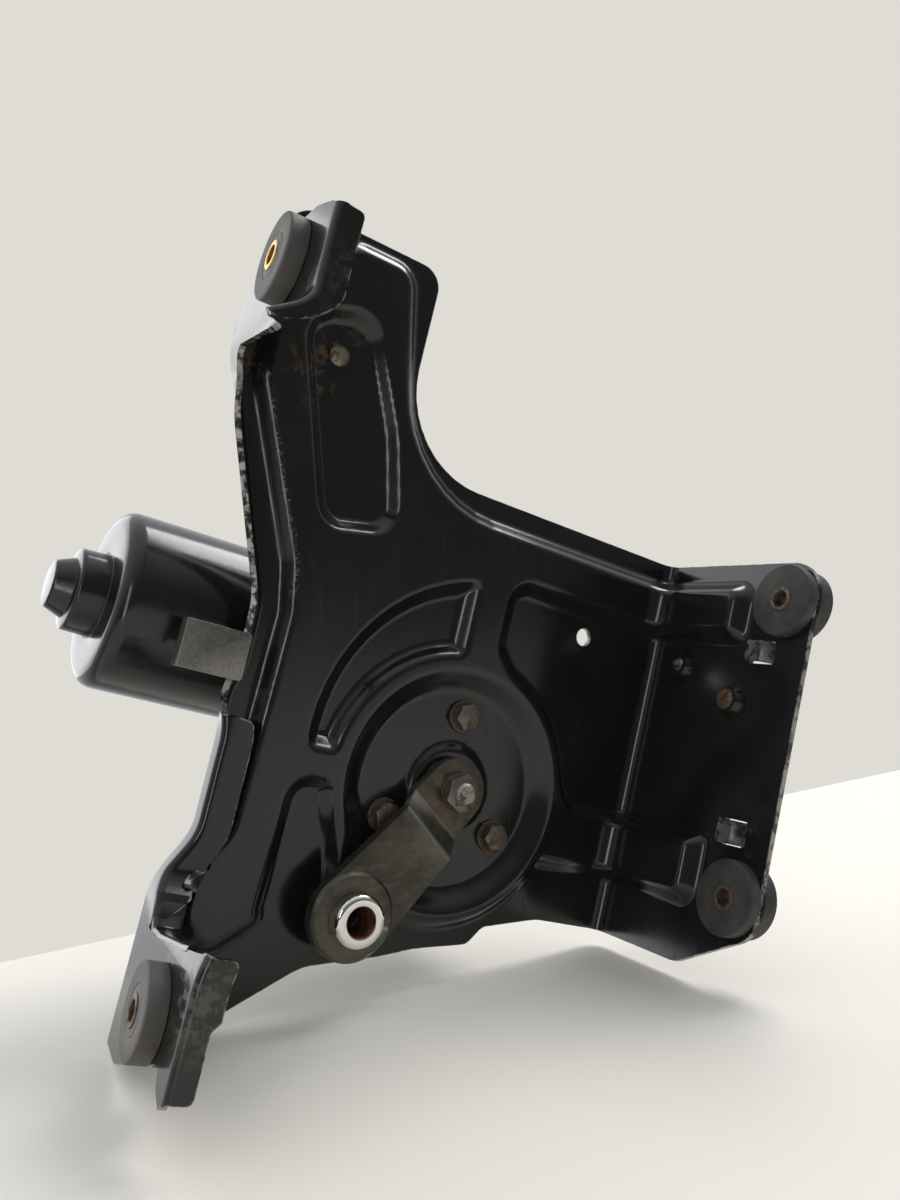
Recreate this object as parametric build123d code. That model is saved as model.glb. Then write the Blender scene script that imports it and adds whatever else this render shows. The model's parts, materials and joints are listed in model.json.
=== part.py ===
from build123d import *
import math
import os

# Windshield wiper motor on its pressed steel bracket, in millimetres.
# The model is drawn in the bracket's own frame: X to the right along the motor's axis,
# Y backwards from the raised face of the plate, Z up along the edge of the bent leg.
# At the end everything is leaned and lifted, so that it stands on a surface as in use on a bench.

# Sheet and pressing depths
SHEET = 2.3
DROP = 5.5
WALL_TAPER = 38.0
BACK_FACE = DROP + SHEET

# Right leg
LEG_FACE = 95.5
LEG_REACH = 84.3
LEG_TOP = 125.8
LEG_BOTTOM = -46.0
LEG_CORNER = 14.0
BEND_RADIUS = 5.0
TAB_RISE = 4.5
TAB_LENGTH = 12.0
UPPER_TAB = (-68.0, 82.0, 91.5)
LOWER_TAB = (-71.0, 6.0, 16.5)
RIB_HEIGHT = 7.5
RIB_REACH = 46.0
RIB_CORNER = 9.0
UPPER_RIB = (95.0, 112.3)
LOWER_RIB = (-18.0, 3.0)

# Left flange and ears
FLANGE_FRONT = -1.5
LIP_FRONT = -4.0
LIP_WIDTH = 12.0
SEAM = LIP_FRONT
LIP_TOP = 11.0
LIP_FOOT = -58.0
EAR_REACH = 93.8
EAR_STRIP = 9.5
EAR_BEND = 3.0
UPPER_EDGE = -137.0
LOWER_EDGE = -114.0
UPPER_FLARE = 3.0
LOWER_FLARE = 6.0
UPPER_ROOT = (131.0, 160.0)
FOOT_Z = -109.5
PLATE_TOP = 209.0

# Round pan for the gearbox, its bolts and the crank
PAN_RIM = 50.0
PAN_FLOOR = 41.5
RING_EDGE = 54.0
SHAFT_Z = 1.6
BOLT_CIRCLE = 31.0
BOLT_SHANK = 3.0
BOLT_HEX = 10.0
BOLT_HEAD = 4.5
BOLT_LENGTH = 16.0
WASHER_RADIUS = 7.0
WASHER_THICK = 1.2
BOSS_RADIUS = 12.0
BOSS_HOLE = 13.0
PAN_BOSS = 19.0
PAN_BOSS_RISE = 2.0

CRANK_REACH_X = -38.0
CRANK_REACH_Z = -54.6
CRANK_THICK = 4.5
CRANK_BACK = 2.0
CRANK_JOGGLE = 7.5
HUB_RADIUS = 13.5
EYE_RADIUS = 17.5
JOGGLE_START = 13.0
JOGGLE_END = 22.0
EYE_BOSS = 1.4
BUSH_RADIUS = 10.4
BUSH_BORE = 5.85
BUSH_HEIGHT = 7.0
BUSH_FLANGE = 1.2
SPRING_WASHER = 1.3
NUT_HEX = 14.0
NUT_HEIGHT = 5.5
SHAFT_STUB = 2.2
SHAFT_RADIUS = 6.0
SHAFT_NOSE = 4.5

# Rubber mounts
GROMMET_RADIUS = 15.3
GROMMET_NECK = 11.0
GROMMET_FRONT = 5.0
GROMMET_BACK = 7.0
SLEEVE_OUTER = 5.2
SLEEVE_BORE = 3.4
SLEEVE_PROUD = 0.6
UPPER_LEFT = (-59.2, 160.5)
LOWER_LEFT = (-59.6, -82.6)
UPPER_RIGHT = (-70.4, 108.7)
LOWER_RIGHT = (-70.4, -14.3)

# Motor, along X
MOTOR_Y = 46.0
MOTOR_Z = 44.1
CAN_RADIUS = 35.3
CAN_WALL = 1.8
CAN_END = -150.0
CAN_OPEN = -62.0
CAN_SHOULDER = 6.5
CAN_BOSS_RADIUS = 16.5
CAN_BOSS_END = -161.5
NUB_RADIUS = 12.0
NUB_TIP_RADIUS = 9.0
NUB_END = -169.0
AIR_GAP = 0.8
MAGNET_THICK = 6.5
MAGNET_ARC = 125.0
CORE_SLOTS = 10
COMMUTATOR_RADIUS = 11.0
ARBOR_RADIUS = 4.0

# Gearbox
CASE_ROOM = 2.33
CASE_WALL = 3.5
CASE_FRONT = 13.0
CASE_BACK = 62.0
WHEEL_TEETH = 48
WORM_PITCH_RADIUS = 6.0
WHEEL_WIDTH = 10.0
BACKLASH = 0.35
TIP_CLEARANCE = 0.35
RUNNING = 0.04
GASKET = 0.8
COVER = 1.8
COVER_LUG_RADIUS = 5.5
COVER_LUG_OUT = 1.0
COVER_SCREW = 2.0

LEAN = 16.6

WHEEL_PITCH_RADIUS = MOTOR_Z - SHAFT_Z - WORM_PITCH_RADIUS
MODULE = 2 * WHEEL_PITCH_RADIUS / WHEEL_TEETH
WHEEL_TIP = WHEEL_PITCH_RADIUS + MODULE - TIP_CLEARANCE
WHEEL_ROOT = WHEEL_PITCH_RADIUS - 1.2 * MODULE
CASE_RADIUS = WHEEL_TIP + CASE_ROOM + CASE_WALL
COVER_LUG_CIRCLE = CASE_RADIUS + COVER_LUG_OUT
CRANK_FRONT = CRANK_BACK - CRANK_THICK
EYE_FRONT = CRANK_FRONT - CRANK_JOGGLE

# Small pieces on the bracket
LUG_SHEET = 1.8
LUG_HEIGHT = 18.0
LUG_WIDTH = 25.4
LUG_LEFT = -128.0
LUG_Z = 33.0
LUG_RETURN = 5.0
SLOT_SCREW_PLACE = (-94.2, 157.8)
CLIP_PLACE = (53.1, 80.7)
CLIP_HOLE = 4.0
UPPER_COLLAR = (-16.0, 78.7)
LOWER_COLLAR = (-50.0, 65.0)
COLLAR_HEIGHT = 4.0

# Inside the motor and the gearbox
BUSH_SEAT = 8.0
BOSS_FRONT = CRANK_BACK + 1.0
BUSH_WALL = 3.0
WHEEL_BACK = MOTOR_Y + WHEEL_WIDTH / 2
WORM_ROOT = WORM_PITCH_RADIUS - 1.2 * MODULE
PARK_RADIUS = 26.0
PARK_THICK = 0.5
PARK_GAP = 0.3
CARRIER_THICK = 1.2
TUBE_RADIUS = 15.0
TUBE_END = 44.0
WORM_ROOM = 9.0
WORM_START = -16.0
BEARING_LENGTH = 8.0
BEARING_OUTER = 8.0
END_BEARING_X = 24.0
PLAY_SCREW_RADIUS = 5.0
REAR_BEARING = (-159.5, -151.5)
CORE_START = -138.0
CORE_END = -92.0
COMMUTATOR_LENGTH = 14.0
MOTOR_SCREW = 2.4
MOTOR_EAR = 6.2
MOTOR_SCREW_TURN = 70.0
COVER_FRONT = CASE_BACK + GASKET
COVER_BACK = COVER_FRONT + COVER
COVER_TOP = COVER_BACK + 2.5
CARRIER_FRONT = COVER_TOP - COVER - CARRIER_THICK
SOCKET_PLACE = (-14.0, -16.0)
SOCKET_SIZE = (30.0, 18.0)
SOCKET_DEPTH = 16.0
SOCKET_WALL = 1.8
SOCKET_PITCH = 6.4
BLADE_THICK = 0.8
BLADE_WIDTH = 5.0
BLADE_END = COVER_TOP + 12.0


# Left edge of the sheet from the lower ear up to the upper one, as (x, z, corner radius)
LEFT_EDGE = [
    (LOWER_EDGE, -50, 9), (-103, -28, 14), (-104.5, 10, 30), (-107, 56, 20), (UPPER_EDGE, 141, 6),
]

# Ears seen from the side, as (y along the ear from the plate's back face, z, corner radius)
UPPER_EAR = [
    (0, UPPER_ROOT[1], 0), (-10, 162, 10), (-32, 169, 20), (-55, 176.5, 20), (-72, 177, 14),
    (-EAR_REACH, 171, 2), (-EAR_REACH, 130, 3), (-65, 136.5, 25), (-44, 140.5, 30),
    (-14.5, 143.8, 8), (-7, 137.5, 6), (0, UPPER_ROOT[0], 0),
]
LOWER_EAR = [
    (0, -42, 0), (-12, -42, 8), (-25, -54.5, 10), (-69, -58, 8), (-EAR_REACH, -56, 2),
    (-EAR_REACH, -97.5, 2), (-77.5, -92, 8), (-60, -98, 14), (-43, -104, 14), (-22, -111, 12),
    (0, FOOT_Z, 0),
]


def front_plane(y):
    """Sketch plane seen from the front at depth y: sketch x is X, sketch y is Z."""
    return Plane(origin=(0, y, 0), x_dir=(1, 0, 0), z_dir=(0, -1, 0))


def side_plane(x):
    """Sketch plane seen from the right at place x: sketch x is Y, sketch y is Z."""
    return Plane(origin=(x, 0, 0), x_dir=(0, 1, 0), z_dir=(1, 0, 0))


def rounded(corners):
    """Face of a polygon given as (x, y, corner radius)."""
    points = [(x, y) for x, y, radius in corners]
    radii = [radius for x, y, radius in corners]
    return make_face(FilletPolyline(*points, radius=radii, close=True))


def prism(face, start, end, taper=0):
    """Extrudes a front-view face from depth start to depth end."""
    return extrude(front_plane(start) * face, start - end, taper=taper)


def side_prism(face, start, end):
    """Extrudes a side-view face from place start to place end along X."""
    return extrude(side_plane(start) * face, end - start)


def y_cylinder(radius, start, end, x=0, z=SHAFT_Z):
    """Round bar along Y."""
    return prism(Pos(x, z) * Circle(radius), start, end)


def x_cylinder(radius, start, end, y=MOTOR_Y, z=MOTOR_Z):
    """Round bar along X."""
    return side_prism(Pos(y, z) * Circle(radius), start, end)


def hexagon(across_flats, turn=0):
    """Hexagon by its width across flats."""
    return Rot(0, 0, turn) * RegularPolygon(across_flats / 2, 6, major_radius=False)


def island_outline():
    """Raised face of the plate, without its recesses."""
    arm_end = LEG_FACE - RIB_HEIGHT - RIB_CORNER
    return rounded([
        (-122, 190, 10), (-96, 201, 8), (-74, 201, 8), (-53.6, UPPER_RIB[1], 66),
        (arm_end, UPPER_RIB[1], 0), (arm_end, LOWER_RIB[0], 0), (40, LOWER_RIB[0], 0),
        (-20, -30, 0), (-72, -60, 6), (-89, -74, 5), (-99, -62, 8), (-99, -46, 10),
        (-89, -30, 20), (-88, 54, 20), (-92, 73, 30), (-122, 138, 12),
    ])


def slot_outline():
    """Long slanted recess beside the upper left mount."""
    return rounded([(-115, 170, 14), (-84, 180, 14), (-62, 135, 60), (-51, 96, 12), (-86, 89, 12)])


def bean_outline():
    """Curved recess that follows the pan."""
    band = Pos(7, 14) * Circle(76) - Circle(RING_EDGE + 2)
    low, left = 7, -9
    quarter = Pos(left, low) * Rectangle(100, 100, align=(Align.MAX, Align.MIN))
    return fillet((band & quarter).vertices(), 7)


def window_outline():
    """Large recess between the two ribs, open to the leg."""
    right = LEG_FACE
    top = UPPER_RIB[0]
    bottom = LOWER_RIB[1]
    return rounded([(right, top, 0), (7, top, 11), (7, 64, 8), (61, bottom, 9), (right, bottom, 0)])


def arch_outline():
    """Arched recess that opens into the lower margin."""
    return rounded([(-72, -4, 11), (-46, -4, 11), (-40, -70, 0), (-60, -84, 0), (-74, -58, 0)])


def raised_form():
    """Solid between the back level and the raised face, with every recess sunk into it."""
    form = prism(island_outline(), 0, DROP, -WALL_TAPER)
    for outline in (slot_outline(), bean_outline(), window_outline(), arch_outline()):
        form -= prism(outline, 0, DROP, WALL_TAPER)
    spread = DROP * math.tan(math.radians(WALL_TAPER))
    ring = revolve(Plane.XY * Polygon(
        (0, 0), (RING_EDGE, 0), (RING_EDGE + spread, DROP), (0, DROP), align=None), Axis.Y)
    top = DROP - PAN_BOSS_RISE
    pan = revolve(Plane.XY * Polygon(
        (0, 0), (PAN_RIM, 0), (PAN_FLOOR, DROP), (PAN_BOSS, DROP), (PAN_BOSS - PAN_BOSS_RISE, top),
        (0, top), align=None), Axis.Y)
    return form + ring - pan


def rib_profile(inset):
    """Top view of a rib that runs along the plate and turns down the leg, inset by a sheet or not."""
    start = LEG_FACE - RIB_HEIGHT - RIB_CORNER - 6
    face = LEG_FACE - RIB_HEIGHT + inset
    end = inset - RIB_REACH
    far = LEG_FACE + 2 * inset
    deep = DROP + 2 * inset
    return rounded([(start, inset, 0), (face, inset, RIB_CORNER - inset), (face, end, RIB_HEIGHT / 2),
                    (far, end, 0), (far, deep, 0), (start, deep, 0)])


def rib_form(span, inset=0.0):
    """L-shaped rib that carries a raised arm round the bend; with an inset, the hollow behind it."""
    low, high = span
    return extrude(Plane.XY.offset(low + inset) * rib_profile(inset), high - low - 2 * inset)


def plate_outline():
    """Edge of the flat back level, from the left flange to the leg."""
    neck = -58.5
    return rounded([
        (UPPER_EDGE, UPPER_ROOT[1], 6), (-126, PLATE_TOP, 3), (neck, PLATE_TOP, 9),
        (neck, LEG_TOP, LEG_TOP / 2 + 7),
        (LEG_FACE + SHEET, LEG_TOP, 0), (LEG_FACE + SHEET, LEG_BOTTOM, 0), (60, -45.5, 20),
        (33, -52, 6), (27, -60, 6), (2, -64.5, 30), (-14, -69.5, 12), (-46.5, -77, 20),
        (-76, -98.5, 10), (-95, FOOT_Z, 8), (LOWER_EDGE, FOOT_Z, 0),
        *LEFT_EDGE,
    ])


def flange_band(inner_width):
    """Band that follows the left edge of the plate, as wide as told."""
    above = 2 * UPPER_EDGE
    far = PLATE_TOP
    edge = rounded([
        (UPPER_EDGE, far, 0), (-above, far, 0), (-above, -far, 0), (LOWER_EDGE, -far, 0), *LEFT_EDGE,
    ])
    return edge - offset(edge, -inner_width)


def flange_side():
    """Side view of the left flange between its two ears."""
    low = LEFT_EDGE[0][1]
    high = LEFT_EDGE[-1][1]
    return rounded([
        (BACK_FACE, high, 0), (FLANGE_FRONT, high - 13, 8), (FLANGE_FRONT, LIP_TOP, 0),
        (LIP_FRONT, LIP_TOP, 0), (LIP_FRONT, low, 0), (BACK_FACE, low, 0),
    ])


def flange():
    """Low wall along the left edge, with its inward turned lip."""
    middle = LEFT_EDGE[1][0]
    wall = prism(flange_band(SHEET), BACK_FACE, LIP_FRONT)
    wall &= side_prism(flange_side(), 2 * UPPER_EDGE, middle + LIP_WIDTH)
    tall = LIP_TOP - LIP_FOOT
    room = Pos(middle, LIP_FOOT) * Rectangle(3 * LIP_WIDTH, tall, align=(Align.CENTER, Align.MIN))
    return wall + prism(flange_band(LIP_WIDTH) & room, LIP_FRONT, LIP_FRONT + SHEET)


def ear_frame(edge, flare):
    """Frame of an ear: x goes into its sheet and y runs back to the plate's back face."""
    return Pos(edge, BACK_FACE, 0) * Rot(0, 0, -flare)


def ear(outline):
    """Ear in its own frame, with its front edge turned inwards."""
    profile = rounded([
        (0, 0, 0), (0, -EAR_REACH, EAR_BEND), (EAR_STRIP, -EAR_REACH, 1),
        (EAR_STRIP, SHEET - EAR_REACH, 1), (SHEET, SHEET - EAR_REACH, EAR_BEND - SHEET), (SHEET, 0, 0)])
    heights = [z for y, z, radius in outline]
    bent = extrude(Plane.XY.offset(min(heights)) * profile, max(heights) - min(heights))
    return bent & side_prism(rounded(outline), -1, EAR_STRIP + 1)


def ears():
    """Both ears in place, with their holes."""
    upper = ear(UPPER_EAR) - x_cylinder(GROMMET_NECK, -1, SHEET + 1, *UPPER_LEFT)
    lower = ear(LOWER_EAR) - x_cylinder(GROMMET_NECK, -1, SHEET + 1, *LOWER_LEFT)
    upper = ear_frame(UPPER_EDGE, UPPER_FLARE) * upper
    return upper + ear_frame(LOWER_EDGE, LOWER_FLARE) * lower


def leg_side():
    """Side view of the leg."""
    return rounded([
        (BACK_FACE, LEG_TOP, 0), (-LEG_REACH, LEG_TOP, LEG_CORNER), (-LEG_REACH, -26.8, 10),
        (-45.6, LEG_BOTTOM, 10), (BACK_FACE, LEG_BOTTOM, 0),
    ])


def leg_bend():
    """Outline, seen from above, of the round corner between the plate and the leg."""
    outer = Pos(LEG_FACE + SHEET - BEND_RADIUS, BACK_FACE - BEND_RADIUS)
    corner = Rectangle(BEND_RADIUS, BEND_RADIUS, align=(Align.MIN, Align.MIN))
    return outer * (corner & (Circle(BEND_RADIUS) - Circle(BEND_RADIUS - SHEET)))


def bent_sheet():
    """Flat back level and the leg, joined by a round bend."""
    side = LEG_FACE + SHEET - BEND_RADIUS
    wide = 4 * LEG_FACE
    flat = plate_outline() & Pos(side, 0) * Rectangle(wide, wide, align=(Align.MAX, Align.CENTER))
    wall = side_prism(leg_side(), LEG_FACE, LEG_FACE + SHEET)
    room = Box(wide, wide, wide, align=(Align.CENTER, Align.MAX, Align.CENTER))
    wall &= Pos(0, BACK_FACE - BEND_RADIUS, 0) * room
    bend = extrude(Plane.XY.offset(LEG_BOTTOM) * leg_bend(), LEG_TOP - LEG_BOTTOM)
    return prism(flat, DROP, BACK_FACE) + wall + bend


def tab_window(y, low, high):
    """Window in the leg that a lanced tab leaves."""
    middle = Pos(LEG_FACE + SHEET / 2, y, low)
    return middle * Box(2 * SHEET, TAB_LENGTH + 1, high - low, align=(Align.CENTER, Align.MIN, Align.MIN))


def lanced_tab(y, low, high):
    """Tab cut free on three sides and pressed inwards; it hangs on the leg at depth y."""
    inner = LEG_FACE - TAB_RISE
    outer = inner + SHEET
    side = Polygon(
        (LEG_FACE, y - 1), (LEG_FACE + SHEET, y - 1), (LEG_FACE + SHEET, y + 1), (outer, y + 5),
        (outer, y + TAB_LENGTH), (inner, y + TAB_LENGTH), (inner, y + 4), align=None)
    return extrude(Plane.XY.offset(low + 0.4) * side, high - low - 0.8)


def bracket_plate():
    """The whole steel pressing."""
    form = raised_form()
    sheet = bent_sheet() + form
    sheet += rib_form(UPPER_RIB) + rib_form(LOWER_RIB)
    sheet -= Pos(0, SHEET, 0) * form
    sheet -= rib_form(UPPER_RIB, SHEET) + rib_form(LOWER_RIB, SHEET)
    sheet += flange() + ears()
    sheet -= bracket_holes()
    for tab in (UPPER_TAB, LOWER_TAB):
        sheet -= tab_window(*tab)
        sheet += lanced_tab(*tab)
    return sheet


def bracket_nodes():
    """The pressing in four nearly flat nodes that meet on the plane of its lip."""
    sheet = bracket_plate()
    wide = 4 * LEG_FACE
    room = Box(wide, wide, wide, align=(Align.CENTER, Align.MAX, Align.CENTER))
    forward = Pos(0, SEAM, 0) * room
    upper_ear, lower_ear, leg = (sheet & forward).solids().sort_by(Axis.X)
    return {
        "bracket_plate": sheet - forward,
        "bracket_leg": leg,
        "upper_ear": upper_ear,
        "lower_ear": lower_ear,
    }


def bolt_places():
    """Places of the three gearbox bolts round the output shaft."""
    angles = [90, 210, 330]
    return [(BOLT_CIRCLE * math.cos(math.radians(a)),
             SHAFT_Z + BOLT_CIRCLE * math.sin(math.radians(a))) for a in angles]


def bracket_holes():
    """Every hole through the pressing."""
    holes = y_cylinder(BOSS_HOLE, DROP - PAN_BOSS_RISE - 1, BACK_FACE + 1)
    for x, z in bolt_places():
        holes += y_cylinder(BOLT_SHANK + 0.3, DROP - 1, BACK_FACE + 1, x, z)
    holes += y_cylinder(CLIP_HOLE, DROP - 1, BACK_FACE + 1, *CLIP_PLACE)
    holes += y_cylinder(2.2, DROP - 1, BACK_FACE + 1, -29, 136)
    for y, z in (UPPER_RIGHT, LOWER_RIGHT):
        holes += x_cylinder(GROMMET_NECK, LEG_FACE - 1, LEG_FACE + SHEET + 1, y, z)
    holes += x_cylinder(3.2, LEG_FACE - 1, LEG_FACE + SHEET + 1, *UPPER_COLLAR)
    holes += y_cylinder(2.6, DROP - 1, BACK_FACE + 1, *SLOT_SCREW_PLACE)
    return holes


def cable_lug():
    """Bent tab on the front edge of the left flange, with a short return at its left."""
    front = FLANGE_FRONT - LUG_SHEET
    right = Pos(LUG_LEFT, LUG_Z)
    tab = right * RectangleRounded(LUG_WIDTH, LUG_HEIGHT, 1.5, align=(Align.MIN, Align.CENTER))
    fold = right * Rectangle(LUG_SHEET, LUG_HEIGHT, align=(Align.MIN, Align.CENTER))
    return prism(tab, front, FLANGE_FRONT) + prism(fold, front, FLANGE_FRONT + LUG_RETURN)


def grommet(place, outward):
    """Rubber mount in its hole; the sheet starts at zero and the mount's thick end faces outward."""
    y, z = place
    faces = [-GROMMET_FRONT, 0, SHEET, SHEET + GROMMET_BACK]
    if outward < 0:
        faces = [-GROMMET_BACK, 0, SHEET, SHEET + GROMMET_FRONT]
    edge = 1.0
    profile = [
        (faces[0], SLEEVE_OUTER), (faces[0], GROMMET_RADIUS - edge), (faces[0] + edge, GROMMET_RADIUS),
        (faces[1], GROMMET_RADIUS), (faces[1], GROMMET_NECK), (faces[2], GROMMET_NECK),
        (faces[2], GROMMET_RADIUS), (faces[3] - edge, GROMMET_RADIUS), (faces[3], GROMMET_RADIUS - edge),
        (faces[3], SLEEVE_OUTER)]
    return turned_x(profile, y, z)


def sleeve(place, outward):
    """Metal tube through a rubber mount, a little longer than the rubber."""
    y, z = place
    front = GROMMET_FRONT if outward > 0 else GROMMET_BACK
    back = GROMMET_BACK if outward > 0 else GROMMET_FRONT
    low = -front - SLEEVE_PROUD
    high = SHEET + back + SLEEVE_PROUD
    section = [(low, SLEEVE_BORE), (low, SLEEVE_OUTER), (high, SLEEVE_OUTER), (high, SLEEVE_BORE)]
    return turned_x(section, y, z)


def turned_x(profile, y=None, z=None):
    """Turned piece on an axis along X, from (x, radius) points."""
    y = MOTOR_Y if y is None else y
    z = MOTOR_Z if z is None else z
    return Pos(0, y, z) * revolve(Plane.XY * Polygon(*profile, align=None), Axis.X)


def turned_y(profile, x=0.0, z=SHAFT_Z):
    """Turned piece on an axis along Y, from (radius, y) points."""
    return Pos(x, 0, z) * revolve(Plane.XY * Polygon(*profile, align=None), Axis.Y)


def gearbox_bolts():
    """Three hex bolts that hold the gearbox through the pan."""
    under_head = DROP - WASHER_THICK
    bolts = []
    for x, z in bolt_places():
        head = prism(Pos(x, z) * hexagon(BOLT_HEX, 15), under_head - BOLT_HEAD, under_head)
        bolts.append(head + y_cylinder(BOLT_SHANK, under_head, under_head + BOLT_LENGTH, x, z))
    return Compound(bolts)


def gearbox_washers():
    """Washers under the three bolt heads."""
    return Compound([
        prism(Pos(x, z) * (Circle(WASHER_RADIUS) - Circle(BOLT_SHANK + 0.1)), DROP - WASHER_THICK, DROP)
        for x, z in bolt_places()])


def crank_outline(hub, eye):
    """Crank seen from the front, as the hull of its two ends."""
    ends = Pos(0, SHAFT_Z) * Circle(hub) + Pos(CRANK_REACH_X, SHAFT_Z + CRANK_REACH_Z) * Circle(eye)
    return make_hull(ends.edges())


def crank_frame():
    """Frame on the crank: x along the arm from the shaft, y along the shaft's axis."""
    angle = math.degrees(math.atan2(CRANK_REACH_Z, CRANK_REACH_X))
    return Pos(0, 0, SHAFT_Z) * Rot(0, -angle, 0)


def crank_arm():
    """Forged arm that steps forward beyond its hub, with the raised boss round its eye."""
    length = math.hypot(CRANK_REACH_X, CRANK_REACH_Z)
    half = EYE_RADIUS + 2
    side = rounded([
        (-HUB_RADIUS - 1, CRANK_BACK, 0), (-HUB_RADIUS - 1, CRANK_FRONT, 0),
        (JOGGLE_START, CRANK_FRONT, 3), (JOGGLE_END, EYE_FRONT, 5), (length + half, EYE_FRONT, 0),
        (length + half, EYE_FRONT + CRANK_THICK, 0), (JOGGLE_END, EYE_FRONT + CRANK_THICK, 3),
        (JOGGLE_START, CRANK_BACK, 5)])
    bar = crank_frame() * (Pos(0, 0, -half) * extrude(Plane.XY * side, 2 * half))
    arm = bar & prism(crank_outline(HUB_RADIUS, EYE_RADIUS), EYE_FRONT - 1, CRANK_BACK + 1)
    x, z = CRANK_REACH_X, SHAFT_Z + CRANK_REACH_Z
    arm += turned_y([(0, EYE_FRONT + 1), (EYE_RADIUS, EYE_FRONT + 1), (EYE_RADIUS, EYE_FRONT),
                     (EYE_RADIUS - EYE_BOSS, EYE_FRONT - EYE_BOSS), (0, EYE_FRONT - EYE_BOSS)], x, z)
    arm -= y_cylinder(BUSH_SEAT, EYE_FRONT - 3, EYE_FRONT + CRANK_THICK + 1, x, z)
    return arm - y_cylinder(SHAFT_NOSE, CRANK_FRONT - 1, CRANK_BACK + 1)


def crank_bush():
    """Chrome bush pressed in the crank's eye, with its rounded nose."""
    front = EYE_FRONT - EYE_BOSS
    nose = front - BUSH_HEIGHT
    back = EYE_FRONT + CRANK_THICK
    return turned_y([
        (BUSH_BORE, nose), (BUSH_RADIUS - 3.0, nose), (BUSH_RADIUS - 1.0, nose + 1.0),
        (BUSH_RADIUS, nose + 3.0), (BUSH_RADIUS, front), (BUSH_SEAT, front), (BUSH_SEAT, back + BUSH_FLANGE),
        (BUSH_BORE, back + BUSH_FLANGE)], CRANK_REACH_X, SHAFT_Z + CRANK_REACH_Z)


def crank_washer():
    """Spring washer under the crank nut."""
    return prism(Pos(0, SHAFT_Z) * (Circle(NUT_HEX / 2 + 0.6) - Circle(SHAFT_NOSE + 0.2)),
                 CRANK_FRONT - SPRING_WASHER, CRANK_FRONT)


def crank_nut():
    """Hex nut on the end of the output shaft."""
    back = CRANK_FRONT - SPRING_WASHER
    nut = prism(Pos(0, SHAFT_Z) * hexagon(NUT_HEX, 10), back - NUT_HEIGHT, back)
    chamfered = turned_y([(0, back), (NUT_HEX, back), (NUT_HEX / 2 + 2, back - NUT_HEIGHT + 1.6),
                          (NUT_HEX / 2 - 0.3, back - NUT_HEIGHT), (0, back - NUT_HEIGHT)])
    return (nut & chamfered) - y_cylinder(SHAFT_NOSE, back - NUT_HEIGHT - 1, back + 1)


def output_shaft():
    """Stepped shaft from the crank nut to the back of the worm wheel."""
    nose = CRANK_FRONT - SPRING_WASHER - NUT_HEIGHT - SHAFT_STUB
    return turned_y([(0, nose), (SHAFT_NOSE - 0.8, nose), (SHAFT_NOSE, nose + 0.8), (SHAFT_NOSE, CRANK_BACK),
                     (SHAFT_RADIUS, CRANK_BACK), (SHAFT_RADIUS, WHEEL_BACK + 3), (0, WHEEL_BACK + 3)])


def wheel_tooth():
    """One slanted tooth, drawn at the top of the wheel."""
    tip = WHEEL_TIP
    root = WHEEL_ROOT
    slope = math.tan(math.radians(20))
    half = (math.pi * MODULE - BACKLASH) / 4
    low = half + (WHEEL_PITCH_RADIUS - root) * slope
    high = half - (tip - WHEEL_PITCH_RADIUS) * slope
    face = Polygon((-low, root - 0.4), (low, root - 0.4), (high, tip), (-high, tip), align=None)
    lead = math.atan(MODULE / (2 * WORM_PITCH_RADIUS))
    shift = WHEEL_WIDTH / 2 * math.tan(lead)
    near = front_plane(MOTOR_Y - WHEEL_WIDTH / 2) * (Pos(-shift, 0) * face)
    far = front_plane(MOTOR_Y + WHEEL_WIDTH / 2) * (Pos(shift, 0) * face)
    return loft([near, far])


def worm_wheel():
    """Plastic wheel with its ring of slanted teeth and dished web."""
    root = WHEEL_ROOT
    front = MOTOR_Y - WHEEL_WIDTH / 2
    hub = SHAFT_RADIUS + 4
    rim = root - 5
    disc = turned_y([
        (SHAFT_RADIUS, front), (hub, front), (hub, front + 2), (rim, front + 2), (rim, front),
        (root, front), (root, WHEEL_BACK), (SHAFT_RADIUS, WHEEL_BACK)])
    tooth = wheel_tooth()
    pitch = 360 / WHEEL_TEETH
    teeth = [Pos(0, 0, SHAFT_Z) * Rot(0, pitch * n, 0) * tooth for n in range(WHEEL_TEETH)]
    return disc.fuse(*teeth)


def park_disc():
    """Brass disc on the back of the wheel, with the gap that stops the motor at its park place."""
    ring = Pos(0, SHAFT_Z) * (Circle(PARK_RADIUS) - Circle(PARK_RADIUS - 12))
    gap = Pos(0, SHAFT_Z) * Rot(0, 0, 25) * (Pos(PARK_RADIUS, 0) * Rectangle(8, 9))
    return prism(ring - gap, WHEEL_BACK, WHEEL_BACK + PARK_THICK)


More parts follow.
